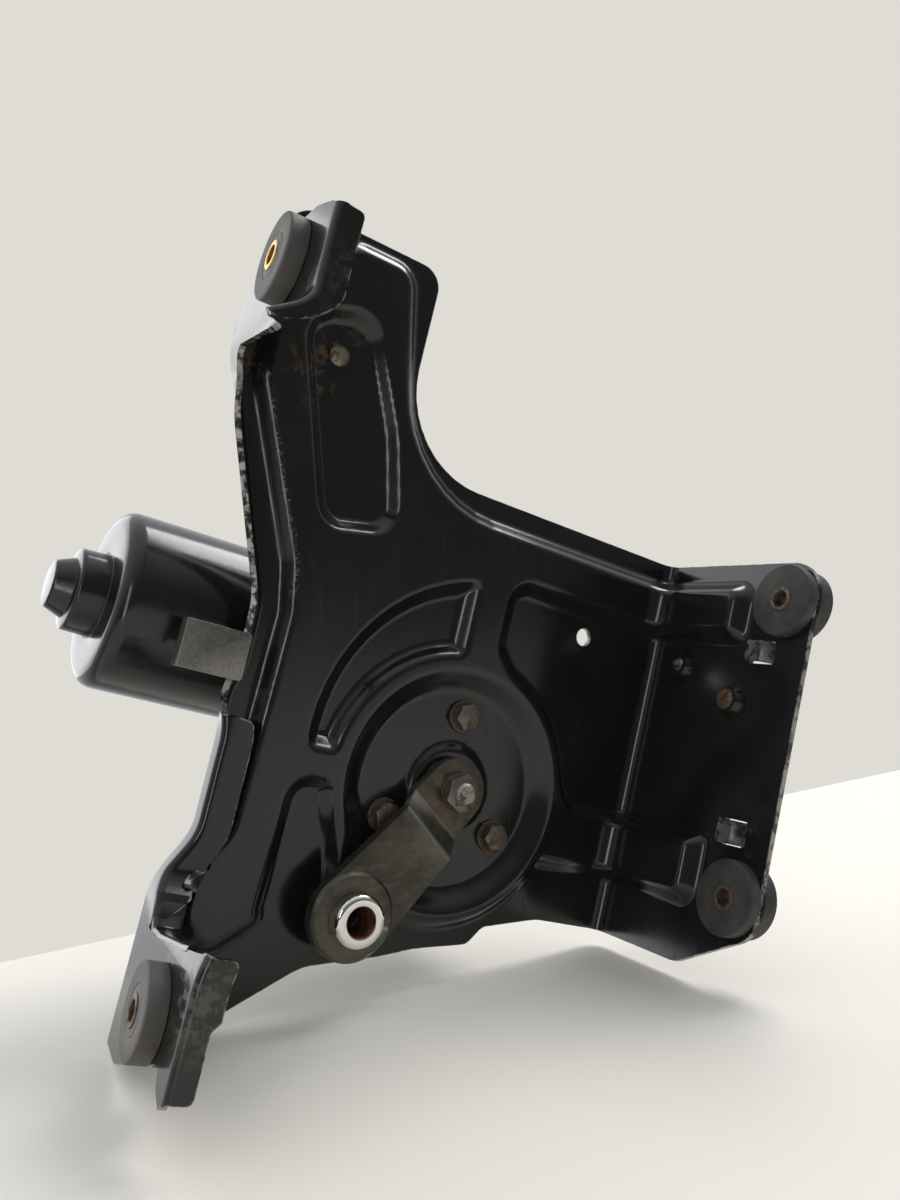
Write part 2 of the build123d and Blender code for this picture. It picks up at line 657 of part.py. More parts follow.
def gear_housing():
    """Die-cast gearbox: wheel case, worm tube and motor flange in one piece."""
    case = turned_y([(0, CASE_FRONT), (CASE_RADIUS - 5, CASE_FRONT), (CASE_RADIUS, CASE_FRONT + 6),
                     (CASE_RADIUS, CASE_BACK), (0, CASE_BACK)])
    tube = x_cylinder(TUBE_RADIUS, CAN_OPEN + 2, TUBE_END)
    flange = turned_x([(CAN_OPEN, 0), (CAN_OPEN, CAN_RADIUS), (CAN_OPEN + 5, CAN_RADIUS),
                       (CAN_OPEN + 14, TUBE_RADIUS), (CAN_OPEN + 14, 0)])
    body = case + tube + flange + y_cylinder(BOSS_RADIUS, BOSS_FRONT, CASE_FRONT + 1)
    for x, z in bolt_places():
        body += y_cylinder(WASHER_RADIUS + 1, BACK_FACE, CASE_FRONT + 1, x, z)
    for x, z in lug_places():
        body += y_cylinder(COVER_LUG_RADIUS, CASE_BACK - 14, CASE_BACK, x, z)
    for y, z in motor_screw_places():
        body += x_cylinder(MOTOR_EAR, CAN_OPEN, CAN_OPEN + 8, y, z)
    for x, z in rib_places():
        body += prism(Pos(x, z) * Circle(2.4), CASE_FRONT + 5, CASE_BACK - 2)
    chamber = y_cylinder(CASE_RADIUS - CASE_WALL, MOTOR_Y - WHEEL_WIDTH / 2 - 1.5, CASE_BACK + 1)
    bore = x_cylinder(WORM_ROOM, CAN_OPEN + BEARING_LENGTH, END_BEARING_X)
    body -= chamber + bore
    body -= x_cylinder(BEARING_OUTER, CAN_OPEN - 1, CAN_OPEN + BEARING_LENGTH + 1)
    body -= x_cylinder(BEARING_OUTER, END_BEARING_X - 1, END_BEARING_X + BEARING_LENGTH)
    body -= x_cylinder(PLAY_SCREW_RADIUS, END_BEARING_X, TUBE_END + 1)
    body -= y_cylinder(SHAFT_RADIUS + BUSH_WALL, BOSS_FRONT - 1, MOTOR_Y)
    for x, z in bolt_places():
        body -= y_cylinder(BOLT_SHANK + 0.05, BACK_FACE - 1, DROP - WASHER_THICK + BOLT_LENGTH + 1, x, z)
    for x, z in lug_places():
        body -= y_cylinder(COVER_SCREW + 0.05, CASE_BACK - 9, CASE_BACK + 1, x, z)
    for y, z in motor_screw_places():
        body -= x_cylinder(MOTOR_SCREW + 0.05, CAN_OPEN - 1, CAN_OPEN + 9, y, z)
    return body


def lug_places():
    """Places of the cover's screws round the wheel case."""
    angles = [20, 160, 215, 325]
    return [(COVER_LUG_CIRCLE * math.cos(math.radians(a)),
             SHAFT_Z + COVER_LUG_CIRCLE * math.sin(math.radians(a))) for a in angles]


def rib_places():
    """Places of the small stiffening ribs on the wall of the wheel case."""
    angles = range(-150, -20, 20)
    return [(CASE_RADIUS * math.cos(math.radians(a)), SHAFT_Z + CASE_RADIUS * math.sin(math.radians(a)))
            for a in angles]


def motor_screw_places():
    """Places (y, z) of the two screws that hold the can on the gearbox."""
    reach = CAN_RADIUS + 4.6
    turn = math.radians(MOTOR_SCREW_TURN)
    return [(MOTOR_Y + sign * reach * math.cos(turn), MOTOR_Z + sign * reach * math.sin(turn))
            for sign in (1, -1)]


def output_bearing():
    """Sintered bush that carries the output shaft."""
    return turned_y([(SHAFT_RADIUS + RUNNING, BOSS_FRONT), (SHAFT_RADIUS + BUSH_WALL, BOSS_FRONT),
                     (SHAFT_RADIUS + BUSH_WALL, MOTOR_Y - WHEEL_WIDTH / 2 - 1.5),
                     (SHAFT_RADIUS + RUNNING, MOTOR_Y - WHEEL_WIDTH / 2 - 1.5)])


def cover_plate(start, end):
    """Plate of the cover's outline between two depths, with its screw holes."""
    outline = Pos(0, SHAFT_Z) * Circle(CASE_RADIUS)
    for x, z in lug_places():
        outline += Pos(x, z) * Circle(COVER_LUG_RADIUS)
    for x, z in lug_places():
        outline -= Pos(x, z) * Circle(COVER_SCREW + 0.2)
    return prism(outline, start, end)


def cover_gasket():
    """Thin seal between the wheel case and its cover."""
    room = y_cylinder(CASE_RADIUS - CASE_WALL, CASE_BACK - 1, COVER_FRONT + 1)
    return cover_plate(CASE_BACK, COVER_FRONT) - room


def gear_cover():
    """Pressed steel cover on the back of the gearbox, with its raised middle."""
    foot = CASE_RADIUS - 9
    raised = turned_y([
        (0, COVER_FRONT), (foot, COVER_FRONT), (foot - 3, COVER_TOP), (0, COVER_TOP)])
    dish = turned_y([
        (0, COVER_FRONT - 1), (foot - 3, COVER_FRONT - 1), (foot - 5, COVER_TOP - COVER),
        (0, COVER_TOP - COVER)])
    cover = cover_plate(COVER_FRONT, COVER_BACK) + raised - dish
    x, z = SOCKET_PLACE
    wide, tall = SOCKET_SIZE
    window = Pos(x, z) * Rectangle(wide - 4, tall - 4)
    return cover - prism(window, COVER_FRONT - 1, COVER_TOP + 1)


def cover_screws():
    """Pan-head screws of the gearbox cover."""
    head = COVER_BACK + 2.4
    tip = CASE_BACK - 8
    section = [
        (0, head), (COVER_SCREW * 1.2, head), (COVER_SCREW * 2, head - 1), (COVER_SCREW * 2, COVER_BACK),
        (COVER_SCREW, COVER_BACK), (COVER_SCREW, tip), (0, tip)]
    return Compound([turned_y(section, x, z) for x, z in lug_places()])


def terminal_socket():
    """Plastic socket for the wiring plug on the cover; its mouth opens backwards."""
    x, z = SOCKET_PLACE
    wide, tall = SOCKET_SIZE
    start = COVER_TOP
    shell = prism(Pos(x, z) * RectangleRounded(wide, tall, 2), start, start + SOCKET_DEPTH)
    cavity = prism(Pos(x, z) * RectangleRounded(wide - 2 * SOCKET_WALL, tall - 2 * SOCKET_WALL, 1),
                   start + SOCKET_WALL, start + SOCKET_DEPTH + 1)
    stem = prism(Pos(x, z) * Rectangle(wide - 4.4, tall - 4.4), COVER_TOP - COVER, start + 1)
    return shell - cavity + stem - blade_room()


def blade_room():
    """Slots through the socket's floor for the blades."""
    return Compound([
        prism(Pos(x, z) * Rectangle(BLADE_THICK + 0.04, BLADE_WIDTH + 0.04), COVER_FRONT, BLADE_END)
        for x, z in blade_places()])


def blade_places():
    """Places of the four blades in the socket."""
    x, z = SOCKET_PLACE
    return [(x + SOCKET_PITCH * n, z) for n in (-1.5, -0.5, 0.5, 1.5)]


def terminal_blades():
    """Brass blades in the socket."""
    return Compound([
        prism(Pos(x, z) * Rectangle(BLADE_THICK, BLADE_WIDTH), COVER_TOP - COVER, BLADE_END)
        for x, z in blade_places()])


def contact_carrier():
    """Insulating plate inside the cover that carries the park contacts."""
    plate = Pos(0, SHAFT_Z) * Circle(PARK_RADIUS + 2.5)
    return prism(plate, CARRIER_FRONT, COVER_TOP - COVER)


def park_contacts():
    """Three spring fingers that run on the park disc."""
    fingers = []
    for turn in (80, 95, 110):
        radius = PARK_RADIUS - 6 + (turn - 95) / 5
        x = radius * math.cos(math.radians(turn))
        z = SHAFT_Z + radius * math.sin(math.radians(turn))
        foot = prism(Pos(x, z) * Rectangle(2.4, 6), CARRIER_FRONT - 0.4, CARRIER_FRONT)
        tip = WHEEL_BACK + PARK_THICK + PARK_GAP
        fingers.append(foot + prism(Pos(x, z) * Rectangle(2.4, 2.4), tip, CARRIER_FRONT - 0.3))
    return Compound(fingers)


def motor_can():
    """Deep-drawn steel can with its stepped end boss and faceted nub."""
    inner = CAN_RADIUS - CAN_WALL
    wall = CAN_WALL
    curve = CAN_SHOULDER * 0.3
    outside = [
        (CAN_OPEN, CAN_RADIUS), (CAN_END + CAN_SHOULDER, CAN_RADIUS),
        (CAN_END + curve, CAN_RADIUS - curve), (CAN_END, CAN_RADIUS - CAN_SHOULDER),
        (CAN_END, CAN_BOSS_RADIUS), (CAN_BOSS_END + 1.5, CAN_BOSS_RADIUS),
        (CAN_BOSS_END, CAN_BOSS_RADIUS - 1.5), (CAN_BOSS_END, NUB_RADIUS), (NUB_END, NUB_TIP_RADIUS),
        (NUB_END, 0)]
    inside = [
        (NUB_END + wall, 0), (NUB_END + wall, NUB_TIP_RADIUS - wall),
        (CAN_BOSS_END + wall, NUB_RADIUS - wall), (CAN_BOSS_END + wall, CAN_BOSS_RADIUS - wall),
        (CAN_END + wall, CAN_BOSS_RADIUS - wall),
        (CAN_END + wall, inner - CAN_SHOULDER), (CAN_END + CAN_SHOULDER, inner), (CAN_OPEN, inner)]
    can = turned_x(outside + inside)
    for y, z in motor_screw_places():
        tab = x_cylinder(MOTOR_EAR, CAN_OPEN - wall, CAN_OPEN, y, z)
        tab -= x_cylinder(inner + 1, CAN_OPEN - 9, CAN_OPEN + 1)
        can += tab - x_cylinder(MOTOR_SCREW + 0.2, CAN_OPEN - 9, CAN_OPEN + 1, y, z)
    flat = Pos(NUB_END, MOTOR_Y - NUB_TIP_RADIUS - 1.2, MOTOR_Z - 6) * Box(16, 4, 30)
    return can - flat


def motor_screws():
    """Two screws that clamp the can's ears to the gearbox."""
    head = CAN_OPEN - CAN_WALL
    screws = []
    for y, z in motor_screw_places():
        cap = turned_x([
            (head - 3.5, 0), (head - 3.5, 3.2), (head - 2.5, 4.2), (head, 4.2), (head, MOTOR_SCREW),
            (CAN_OPEN + 8, MOTOR_SCREW), (CAN_OPEN + 8, 0)], y, z)
        slot = Pos(head - 3.5, y, z) * Box(2.4, 1.2, 9)
        screws.append(cap - slot)
    return Compound(screws)


def magnets():
    """Two arc magnets on the can's inner wall."""
    outer = CAN_RADIUS - CAN_WALL
    half = math.radians(MAGNET_ARC / 2)
    far = 3 * outer
    wedge = Polygon(
        (0, 0), (far * math.cos(half), -far * math.sin(half)), (far, -far * math.tan(half / 2)),
        (far, far * math.tan(half / 2)), (far * math.cos(half), far * math.sin(half)), align=None)
    ring = Circle(outer) - Circle(outer - MAGNET_THICK)
    return Compound([
        side_prism(Pos(MOTOR_Y, MOTOR_Z) * (ring & (Rot(0, 0, turn) * wedge)), CORE_START - 3, CORE_END + 3)
        for turn in (90, 270)])


def armature_core():
    """Laminated core with its winding slots."""
    radius = CAN_RADIUS - CAN_WALL - MAGNET_THICK - AIR_GAP
    disc = Circle(radius) - Circle(ARBOR_RADIUS)
    for n in range(CORE_SLOTS):
        turn = Rot(0, 0, 360 / CORE_SLOTS * n)
        disc -= turn * (Pos(radius - 8, 0) * Circle(3.2))
        disc -= turn * (Pos(radius - 3, 0) * Rectangle(12, 1.8))
    return side_prism(Pos(MOTOR_Y, MOTOR_Z) * disc, CORE_START, CORE_END)


def armature_winding():
    """Copper bundles through the slots, joined by the end turns."""
    radius = CAN_RADIUS - CAN_WALL - MAGNET_THICK - AIR_GAP
    ends = Circle(radius - 3) - Circle(ARBOR_RADIUS + 1.5)
    bars = [Pos(MOTOR_Y, MOTOR_Z) * Rot(0, 0, 360 / CORE_SLOTS * n) * (Pos(radius - 8, 0) * Circle(3.1))
            for n in range(CORE_SLOTS)]
    winding = side_prism(Pos(MOTOR_Y, MOTOR_Z) * ends, CORE_START - 7, CORE_START)
    winding += side_prism(Pos(MOTOR_Y, MOTOR_Z) * ends, CORE_END, CORE_END + 7)
    return winding.fuse(*[side_prism(bar, CORE_START - 1, CORE_END + 1) for bar in bars])


def commutator():
    """Ring of copper segments."""
    ring = Circle(COMMUTATOR_RADIUS) - Circle(ARBOR_RADIUS)
    for n in range(CORE_SLOTS):
        ring -= Rot(0, 0, 360 / CORE_SLOTS * n) * (Pos(COMMUTATOR_RADIUS, 0) * Rectangle(3, 0.8))
    return side_prism(Pos(MOTOR_Y, MOTOR_Z) * ring, CORE_END + 8, CORE_END + 8 + COMMUTATOR_LENGTH)


def brush_places():
    """Turns of the three brushes about the motor's axis."""
    return [0, 180, 240]


def on_motor(shape, turn):
    """Turns a shape drawn beside the X axis about the motor's axis."""
    return Pos(0, MOTOR_Y, MOTOR_Z) * Rot(turn, 0, 0) * shape


def brushes():
    """Three carbon brushes on the commutator."""
    middle = CORE_END + 8 + COMMUTATOR_LENGTH / 2
    low = COMMUTATOR_RADIUS + 0.1
    return Compound([
        on_motor(Pos(middle, low + 4.5, 0) * Box(6, 9, 4.5), turn) for turn in brush_places()])


def brush_holders():
    """Brass guides of the brushes, fixed to the brush plate."""
    middle = CORE_END + 8 + COMMUTATOR_LENGTH / 2
    low = COMMUTATOR_RADIUS + 2
    guide = Pos(middle, low + 8, 0) * (Box(7.6, 16, 6.1) - Box(6.1, 18, 4.6))
    cap = Pos(middle, low + 15.6, 0) * Box(7.6, 0.8, 6.1)
    return Compound([on_motor(guide + cap, turn) for turn in brush_places()])


def brush_springs():
    """Coil springs behind the brushes, drawn as their turns stacked in rings."""
    middle = CORE_END + 8 + COMMUTATOR_LENGTH / 2
    low = COMMUTATOR_RADIUS + 0.1 + 9 + 0.4
    high = COMMUTATOR_RADIUS + 2 + 15.2 - 0.4
    springs = []
    for turn in brush_places():
        path = Helix(2.7, high - low, 1.5, direction=(0, 1, 0))
        wire = sweep(Plane(origin=path @ 0, z_dir=path % 0) * Circle(0.3), path=path, is_frenet=True)
        springs.append(on_motor(Pos(middle, low, 0) * wire, turn))
    return Compound(springs)


def brush_plate():
    """Insulating plate that carries the brush holders at the can's open end."""
    outer = CAN_RADIUS - CAN_WALL - 0.1
    back = CORE_END + 8 + COMMUTATOR_LENGTH / 2 + 3.8
    ring = Circle(outer) - Circle(COMMUTATOR_RADIUS + 1.5)
    return side_prism(Pos(MOTOR_Y, MOTOR_Z) * ring, back, CAN_OPEN)


def armature_shaft():
    """Arbor of the armature, with the worm cut on its far end."""
    root = WORM_ROOT
    start = REAR_BEARING[0] - 0.5
    end = END_BEARING_X + BEARING_LENGTH
    shaft = turned_x([
        (start, 0), (start, ARBOR_RADIUS), (WORM_START - 6, ARBOR_RADIUS), (WORM_START - 4, root),
        (end, root), (end, 0)])
    return shaft + worm_thread()


def worm_thread():
    """Right-handed thread of the worm, in mesh with a gap of the wheel at the top."""
    lead = math.pi * MODULE
    root = WORM_ROOT - 0.3
    tip = WORM_PITCH_RADIUS + MODULE - TIP_CLEARANCE
    slope = math.tan(math.radians(20))
    half = (math.pi * MODULE - BACKLASH) / 4 - 0.15
    low = half + (WORM_PITCH_RADIUS - root) * slope
    high = half - (tip - WORM_PITCH_RADIUS) * slope
    turns = 6
    path = Helix(lead, lead * turns, root, direction=(1, 0, 0))
    start = path @ 0
    outward = Vector(0, start.Y, start.Z).normalized()
    plane = Plane(origin=start, x_dir=(1, 0, 0), z_dir=Vector(1, 0, 0).cross(outward))
    profile = plane * Polygon((-low, 0), (low, 0), (high, tip - root), (-high, tip - root), align=None)
    thread = sweep(profile, path=path, is_frenet=True)
    angle = math.degrees(math.atan2(start.Z, start.Y))
    at_bottom = -90 - angle
    phase = at_bottom / 360 * lead
    middle = lead / 2
    return Pos(middle - phase - lead * turns / 2, MOTOR_Y, MOTOR_Z) * thread


def bush(start, length, bore, outer):
    """Plain bearing bush on the motor's axis."""
    return turned_x([(start, bore), (start, outer), (start + length, outer), (start + length, bore)])


def end_play_screw():
    """Adjusting screw and its pad at the worm's far end."""
    start = END_BEARING_X + BEARING_LENGTH + 0.1
    screw = x_cylinder(PLAY_SCREW_RADIUS, start, TUBE_END + 1.5)
    return screw - Pos(TUBE_END + 1.5, MOTOR_Y, MOTOR_Z) * Box(2.4, 1.4, 12)


def slot_screw():
    """Zinc screw at the top of the slot recess, with its nut behind the sheet."""
    x, z = SLOT_SCREW_PLACE
    return turned_y([(0, DROP - 3.0), (2.6, DROP - 3.0), (4.2, DROP - 1.4), (4.2, DROP), (2.5, DROP),
                     (2.5, BACK_FACE + 5), (0, BACK_FACE + 5)], x, z)


def leg_collar(y, z):
    """Round collar welded on the leg's inner face."""
    return turned_x([(LEG_FACE - COLLAR_HEIGHT, 3.2), (LEG_FACE - COLLAR_HEIGHT, 5.2), (LEG_FACE - 1.5, 6.6),
                     (LEG_FACE, 7.0), (LEG_FACE, 3.2)], y, z)


def leg_collars():
    """The two collars of the leg."""
    return Compound([leg_collar(*UPPER_COLLAR), leg_collar(*LOWER_COLLAR)])


def leg_screw():
    """Slotted screw in the leg's second collar."""
    y, z = LOWER_COLLAR
    face = LEG_FACE - COLLAR_HEIGHT
    screw = turned_x([(face - 2.2, 0), (face - 2.2, 3.2), (face - 1.2, 4.4), (face, 4.4), (face, 3.1),
                      (LEG_FACE, 3.1), (LEG_FACE, 0)], y, z)
    return screw - Pos(face - 2.2, y, z) * Rot(35, 0, 0) * Box(2.0, 1.3, 10)


def pieces():
    """Every piece by its node name, in the bracket's own frame."""
    retainer_hole = BEARING_OUTER
    retainer_edge = CAN_BOSS_RADIUS - CAN_WALL
    made = {
        **bracket_nodes(),
        "cable_lug": cable_lug(),
        "slot_screw": slot_screw(),
        "leg_collars": leg_collars(),
        "leg_screw": leg_screw(),
        "gearbox_bolts": gearbox_bolts(),
        "gearbox_washers": gearbox_washers(),
        "gear_housing": gear_housing(),
        "output_bearing": output_bearing(),
        "cover_gasket": cover_gasket(),
        "gear_cover": gear_cover(),
        "cover_screws": cover_screws(),
        "terminal_socket": terminal_socket(),
        "terminal_blades": terminal_blades(),
        "contact_carrier": contact_carrier(),
        "park_contacts": park_contacts(),
        "motor_can": motor_can(),
        "motor_screws": motor_screws(),
        "magnets": magnets(),
        "brush_plate": brush_plate(),
        "brush_holders": brush_holders(),
        "brushes": brushes(),
        "brush_springs": brush_springs(),
        "rear_bearing": bush(REAR_BEARING[0], 8, ARBOR_RADIUS + RUNNING, BEARING_OUTER),
        "bearing_retainer": bush(REAR_BEARING[0] + 1, 5, retainer_hole, retainer_edge),
        "front_bearing": bush(CAN_OPEN, BEARING_LENGTH, ARBOR_RADIUS + RUNNING, BEARING_OUTER),
        "end_bearing": bush(END_BEARING_X, BEARING_LENGTH, WORM_ROOT + RUNNING, BEARING_OUTER),
        "end_play_screw": end_play_screw(),
        "output_shaft": output_shaft(),
        "worm_wheel": worm_wheel(),
        "park_disc": park_disc(),
        "crank_arm": crank_arm(),
        "crank_bush": crank_bush(),
        "crank_washer": crank_washer(),
        "crank_nut": crank_nut(),
        "armature_shaft": armature_shaft(),
        "armature_core": armature_core(),
        "armature_winding": armature_winding(),
        "commutator": commutator(),
    }
    for place, (frame, centre, outward) in rubber_mounts().items():
        made["grommet_" + place] = frame * grommet(centre, outward)
        made["sleeve_" + place] = frame * sleeve(centre, outward)
    return made


def rubber_mounts():
    """Frame of the sheet, place in it and outward side of each rubber mount."""
    return {
        "upper_left": (ear_frame(UPPER_EDGE, UPPER_FLARE), UPPER_LEFT, -1),
        "lower_left": (ear_frame(LOWER_EDGE, LOWER_FLARE), LOWER_LEFT, -1),
        "upper_right": (Pos(LEG_FACE, 0, 0), UPPER_RIGHT, 1),
        "lower_right": (Pos(LEG_FACE, 0, 0), LOWER_RIGHT, 1),
    }


def standing(made):
    """The pieces leaned onto their feet, centred over the origin, and how far they were moved."""
    leaned = {name: Rot(0, LEAN, 0) * shape for name, shape in made.items()}
    boxes = [shape.bounding_box() for shape in leaned.values()]
    low = [min(getattr(box.min, axis) for box in boxes) for axis in "XYZ"]
    high = [max(getattr(box.max, axis) for box in boxes) for axis in "XYZ"]
    move = (-(low[0] + high[0]) / 2, -(low[1] + high[1]) / 2, -low[2])
    return {name: Pos(*move) * shape for name, shape in leaned.items()}, move


os.makedirs("parts", exist_ok=True)
placed, lift = standing(pieces())
for name, shape in placed.items():
    export_step(shape, "parts/" + name + ".step")
print("moved by", [round(value, 4) for value in lift])
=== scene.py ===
import contextlib
import json
import math

import bmesh
import bpy
import numpy as np
from mathutils import Matrix, Vector


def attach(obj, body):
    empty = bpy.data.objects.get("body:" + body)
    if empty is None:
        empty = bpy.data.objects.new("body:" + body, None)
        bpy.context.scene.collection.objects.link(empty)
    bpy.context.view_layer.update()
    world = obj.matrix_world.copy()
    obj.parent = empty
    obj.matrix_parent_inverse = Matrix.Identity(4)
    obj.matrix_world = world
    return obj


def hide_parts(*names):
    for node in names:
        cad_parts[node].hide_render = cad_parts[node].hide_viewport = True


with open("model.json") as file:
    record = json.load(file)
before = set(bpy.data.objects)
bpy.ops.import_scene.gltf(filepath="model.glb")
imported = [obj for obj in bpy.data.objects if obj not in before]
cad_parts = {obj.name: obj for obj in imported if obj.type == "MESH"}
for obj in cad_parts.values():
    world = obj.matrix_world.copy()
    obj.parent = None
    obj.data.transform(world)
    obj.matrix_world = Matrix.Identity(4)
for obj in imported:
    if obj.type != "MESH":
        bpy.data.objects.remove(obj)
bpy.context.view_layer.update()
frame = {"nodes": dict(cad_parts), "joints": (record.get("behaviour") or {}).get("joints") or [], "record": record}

# The motor is drawn in millimetres in its bracket's own frame: X along the motor's axis, Y backwards
# from the raised face of the plate, Z along the leg. STAND puts that frame where the frame's joints are.
MM = 0.001
SHAFT_Z = 1.6
CRANK_BACK = 2.0
joints = {joint["name"]: joint for joint in frame["joints"]}
spin_axis = Vector(joints["armature_spin"]["axis"])
LEAN = math.atan2(-spin_axis.z, spin_axis.x)
STAND = (Matrix.Translation(joints["crank_turn"]["pos_m"]) @ Matrix.Rotation(LEAN, 4, "Y")
         @ Matrix.Scale(MM, 4) @ Matrix.Translation((0, -CRANK_BACK, -SHAFT_Z)))

# Pressing. DROP is how far its raised face stands in front of the plate's back level, WALL how wide a drawn
# wall is as seen from the front, and a FLARE the angle in degrees at which a left ear leans outward.
SHEET = 2.3
DROP = 5.5
WALL = 4.3
FILLET = 1.5
PAN_RIM = 50.0
PAN_FLOOR = 41.5
RING_EDGE = 54.0
PAN_BOSS = 19.0
PAN_BOSS_RISE = 2.0
LEG_FACE = 95.5
LEG_REACH = 84.3
LEG_TOP = 125.8
LEG_BOTTOM = -46.0
LEG_BEND = 5.5
RIB_HEIGHT = 7.5
RIB_REACH = 46.0
RIB_CORNER = 9.0
UPPER_RIB = (95.0, 112.3)
LOWER_RIB = (-18.0, 3.0)
TABS = ((-68.0, 82.0, 91.5), (-71.0, 6.0, 16.5))
TAB_RISE = 4.5
TAB_LENGTH = 12.0
TAB_GAP = 1.0
UPPER_EDGE = -137.0
LOWER_EDGE = -114.0
UPPER_FLARE = 3.0
LOWER_FLARE = 6.0
EAR_REACH = 93.8
FOOT_Z = -109.5
PLATE_TOP = 209.0
FLANGE_BEND = 2.0
LIP_BEND = 0.7

# Motor
MOTOR_Y = 46.0
MOTOR_Z = 44.1
CAN_RADIUS = 35.3
CAN_OPEN = -62.0
CAN_END = -150.0
CAN_WALL = 1.8
BOSS_END = -161.5
BOSS_RADIUS = 16.5
NUB_RADIUS = 12.0
NUB_TIP_RADIUS = 9.0
NUB_END = -169.0

# Crank
CRANK_REACH = (-38.0, -54.6)
CRANK_THICK = 4.5
CRANK_JOGGLE = 7.5
BOLT_CIRCLE = 31.0
BOLT_HEX = 10.0
BOLT_HEAD = 4.5
BOLT_SHANK = 3.0
BOLT_SUNK = 0.5
BOLT_LENGTH = 16.0
BOLT_CHAMFER = 0.4
NUT_CHAMFER = 0.5
CHAMFER_ANGLE = math.radians(30)
WASHER_BORE = 3.1
WASHER_RADIUS = 7.0
WASHER_THICK = 1.2
NUT_HEX = 14.0
NUT_HEIGHT = 5.5
SPRING_WASHER = 1.3
SPRING_WASHER_RADIUS = 7.6
SHAFT_NOSE = 4.5
EYE_BOSS = 1.4
EYE_BORE = 8.0
BUSH_RADIUS = 10.4
BUSH_BORE = 5.85
BUSH_HEIGHT = 7.0
BUSH_BACK = 1.2
CRANK_FRONT = CRANK_BACK - CRANK_THICK
EYE_CENTRE = (CRANK_REACH[0], 0, SHAFT_Z + CRANK_REACH[1])
EYE_FRONT = CRANK_FRONT - CRANK_JOGGLE
NUT_BACK = CRANK_FRONT - SPRING_WASHER

# Rubber mounts, as (y, z) of their centres; the left ones are measured along their ears
GROMMET_RADIUS = 15.3
GROMMET_NECK = 11.0
GROMMET_THIN = 5.0
GROMMET_THICK = 7.0
SLEEVE_OUTER = 5.2
SLEEVE_BORE = 3.4
SLEEVE_PROUD = 0.6
UPPER_LEFT = (-59.2, 160.5)
LOWER_LEFT = (-59.6, -82.6)
UPPER_RIGHT = (-70.4, 108.7)
LOWER_RIGHT = (-70.4, -14.3)

# Camera, from the photograph's perspective: its place and its directions in the bracket's frame
CAMERA_PLACE = (-247.1, -391.9, 14.4)
CAMERA_RIGHT = (0.829, -0.512, 0.227)
CAMERA_DOWN = (0.265, 0.003, -0.964)
FOCAL_PIXELS = 1102.67
PHOTO_HEIGHT = 1200
SENSOR = 36


def arc_corners(corners, closed=True, step=math.radians(9)):
    """Points of an outline whose corners are (x, y, radius). An arc takes less than half of each side."""
    count = len(corners)
    points = []
    for index, (x, y, radius) in enumerate(corners):
        at = np.array((x, y), float)
        if radius <= 0 or (not closed and index in (0, count - 1)):
            points.append(at)
            continue
        before = np.array(corners[index - 1][:2], float) - at
        after = np.array(corners[(index + 1) % count][:2], float) - at
        reach_before, reach_after = np.linalg.norm(before), np.linalg.norm(after)
        before, after = before / reach_before, after / reach_after
        half = math.acos(np.clip(before @ after, -1, 1)) / 2
        run = min(radius / math.tan(half), 0.49 * reach_before, 0.49 * reach_after)
        size = run * math.tan(half)
        middle = at + (before + after) / np.linalg.norm(before + after) * size / math.sin(half)
        first, last = at + before * run - middle, at + after * run - middle
        sweep = math.atan2(first[0] * last[1] - first[1] * last[0], first @ last)
        turns = max(2, int(abs(sweep) / step))
        for turn in np.linspace(0, sweep, turns + 1):
            c, s = math.cos(turn), math.sin(turn)
            points.append(middle + np.array((c * first[0] - s * first[1], s * first[0] + c * first[1])))
    return np.array(points)


def inside_distance(points, outline):
    """Distance of each point to a closed outline, positive inside it."""
    best = np.full(len(points), np.inf)
    inside = np.zeros(len(points), bool)
    for start, end in zip(outline, np.roll(outline, -1, axis=0)):
        edge = end - start
        length = edge @ edge
        if length < 1e-12:
            continue
        offset = points - start
        along = np.clip((offset @ edge) / length, 0, 1)
        offset = offset - along[:, None] * edge
        best = np.minimum(best, offset[:, 0] ** 2 + offset[:, 1] ** 2)
        spans = (start[1] > points[:, 1]) != (end[1] > points[:, 1])
        crossing = start[0] + (points[:, 1] - start[1]) * edge[0] / (edge[1] if edge[1] else 1e-12)
        inside ^= spans & (points[:, 0] < crossing)
    return np.sqrt(best) * np.where(inside, 1, -1)


def unit(vectors):
    """Vectors of length 1, with the direction that each has along the last axis of an array."""
    return vectors / np.maximum(np.linalg.norm(vectors, axis=-1, keepdims=True), 1e-9)


def ease(value):
    """Smooth step from 0 to 1."""
    value = np.clip(value, 0, 1)
    return value * value * (3 - 2 * value)


def new_object(name, data):
    """Object of a mesh, a lamp or a camera, in the scene."""
    made = bpy.data.objects.new(name, data)
    bpy.context.scene.collection.objects.link(made)
    return made


def new_mesh(name, points, faces):
    mesh = bpy.data.meshes.new(name)
    mesh.from_pydata([tuple(point) for point in points], [], faces)
    return mesh


def mesh_object(name, points, faces):
    """Object from points in the bracket's frame, set up in the shared frame."""
    mesh = new_mesh(name, points, faces)
    mesh.transform(STAND)
    mesh.shade_smooth()
    return new_object(name, mesh)


def keep_values(mesh, name, values, domain="POINT"):
    """Keeps a number for each point or face of a mesh under a name."""
    attribute = mesh.attributes.new(name, "FLOAT", domain)
    attribute.data.foreach_set("value", values.astype(np.float32))


@contextlib.contextmanager
def edited(mesh):
    """Lends a mesh to bmesh's tools and takes it back changed."""
    solid = bmesh.new()
    solid.from_mesh(mesh)
    yield solid
    solid.to_mesh(mesh)
    solid.free()


def sharpen(piece, degrees=35):
    """Smooth shading that keeps edges sharper than an angle."""
    piece.data.shade_smooth()
    piece.data.set_sharp_from_angle(angle=math.radians(degrees))
    return piece


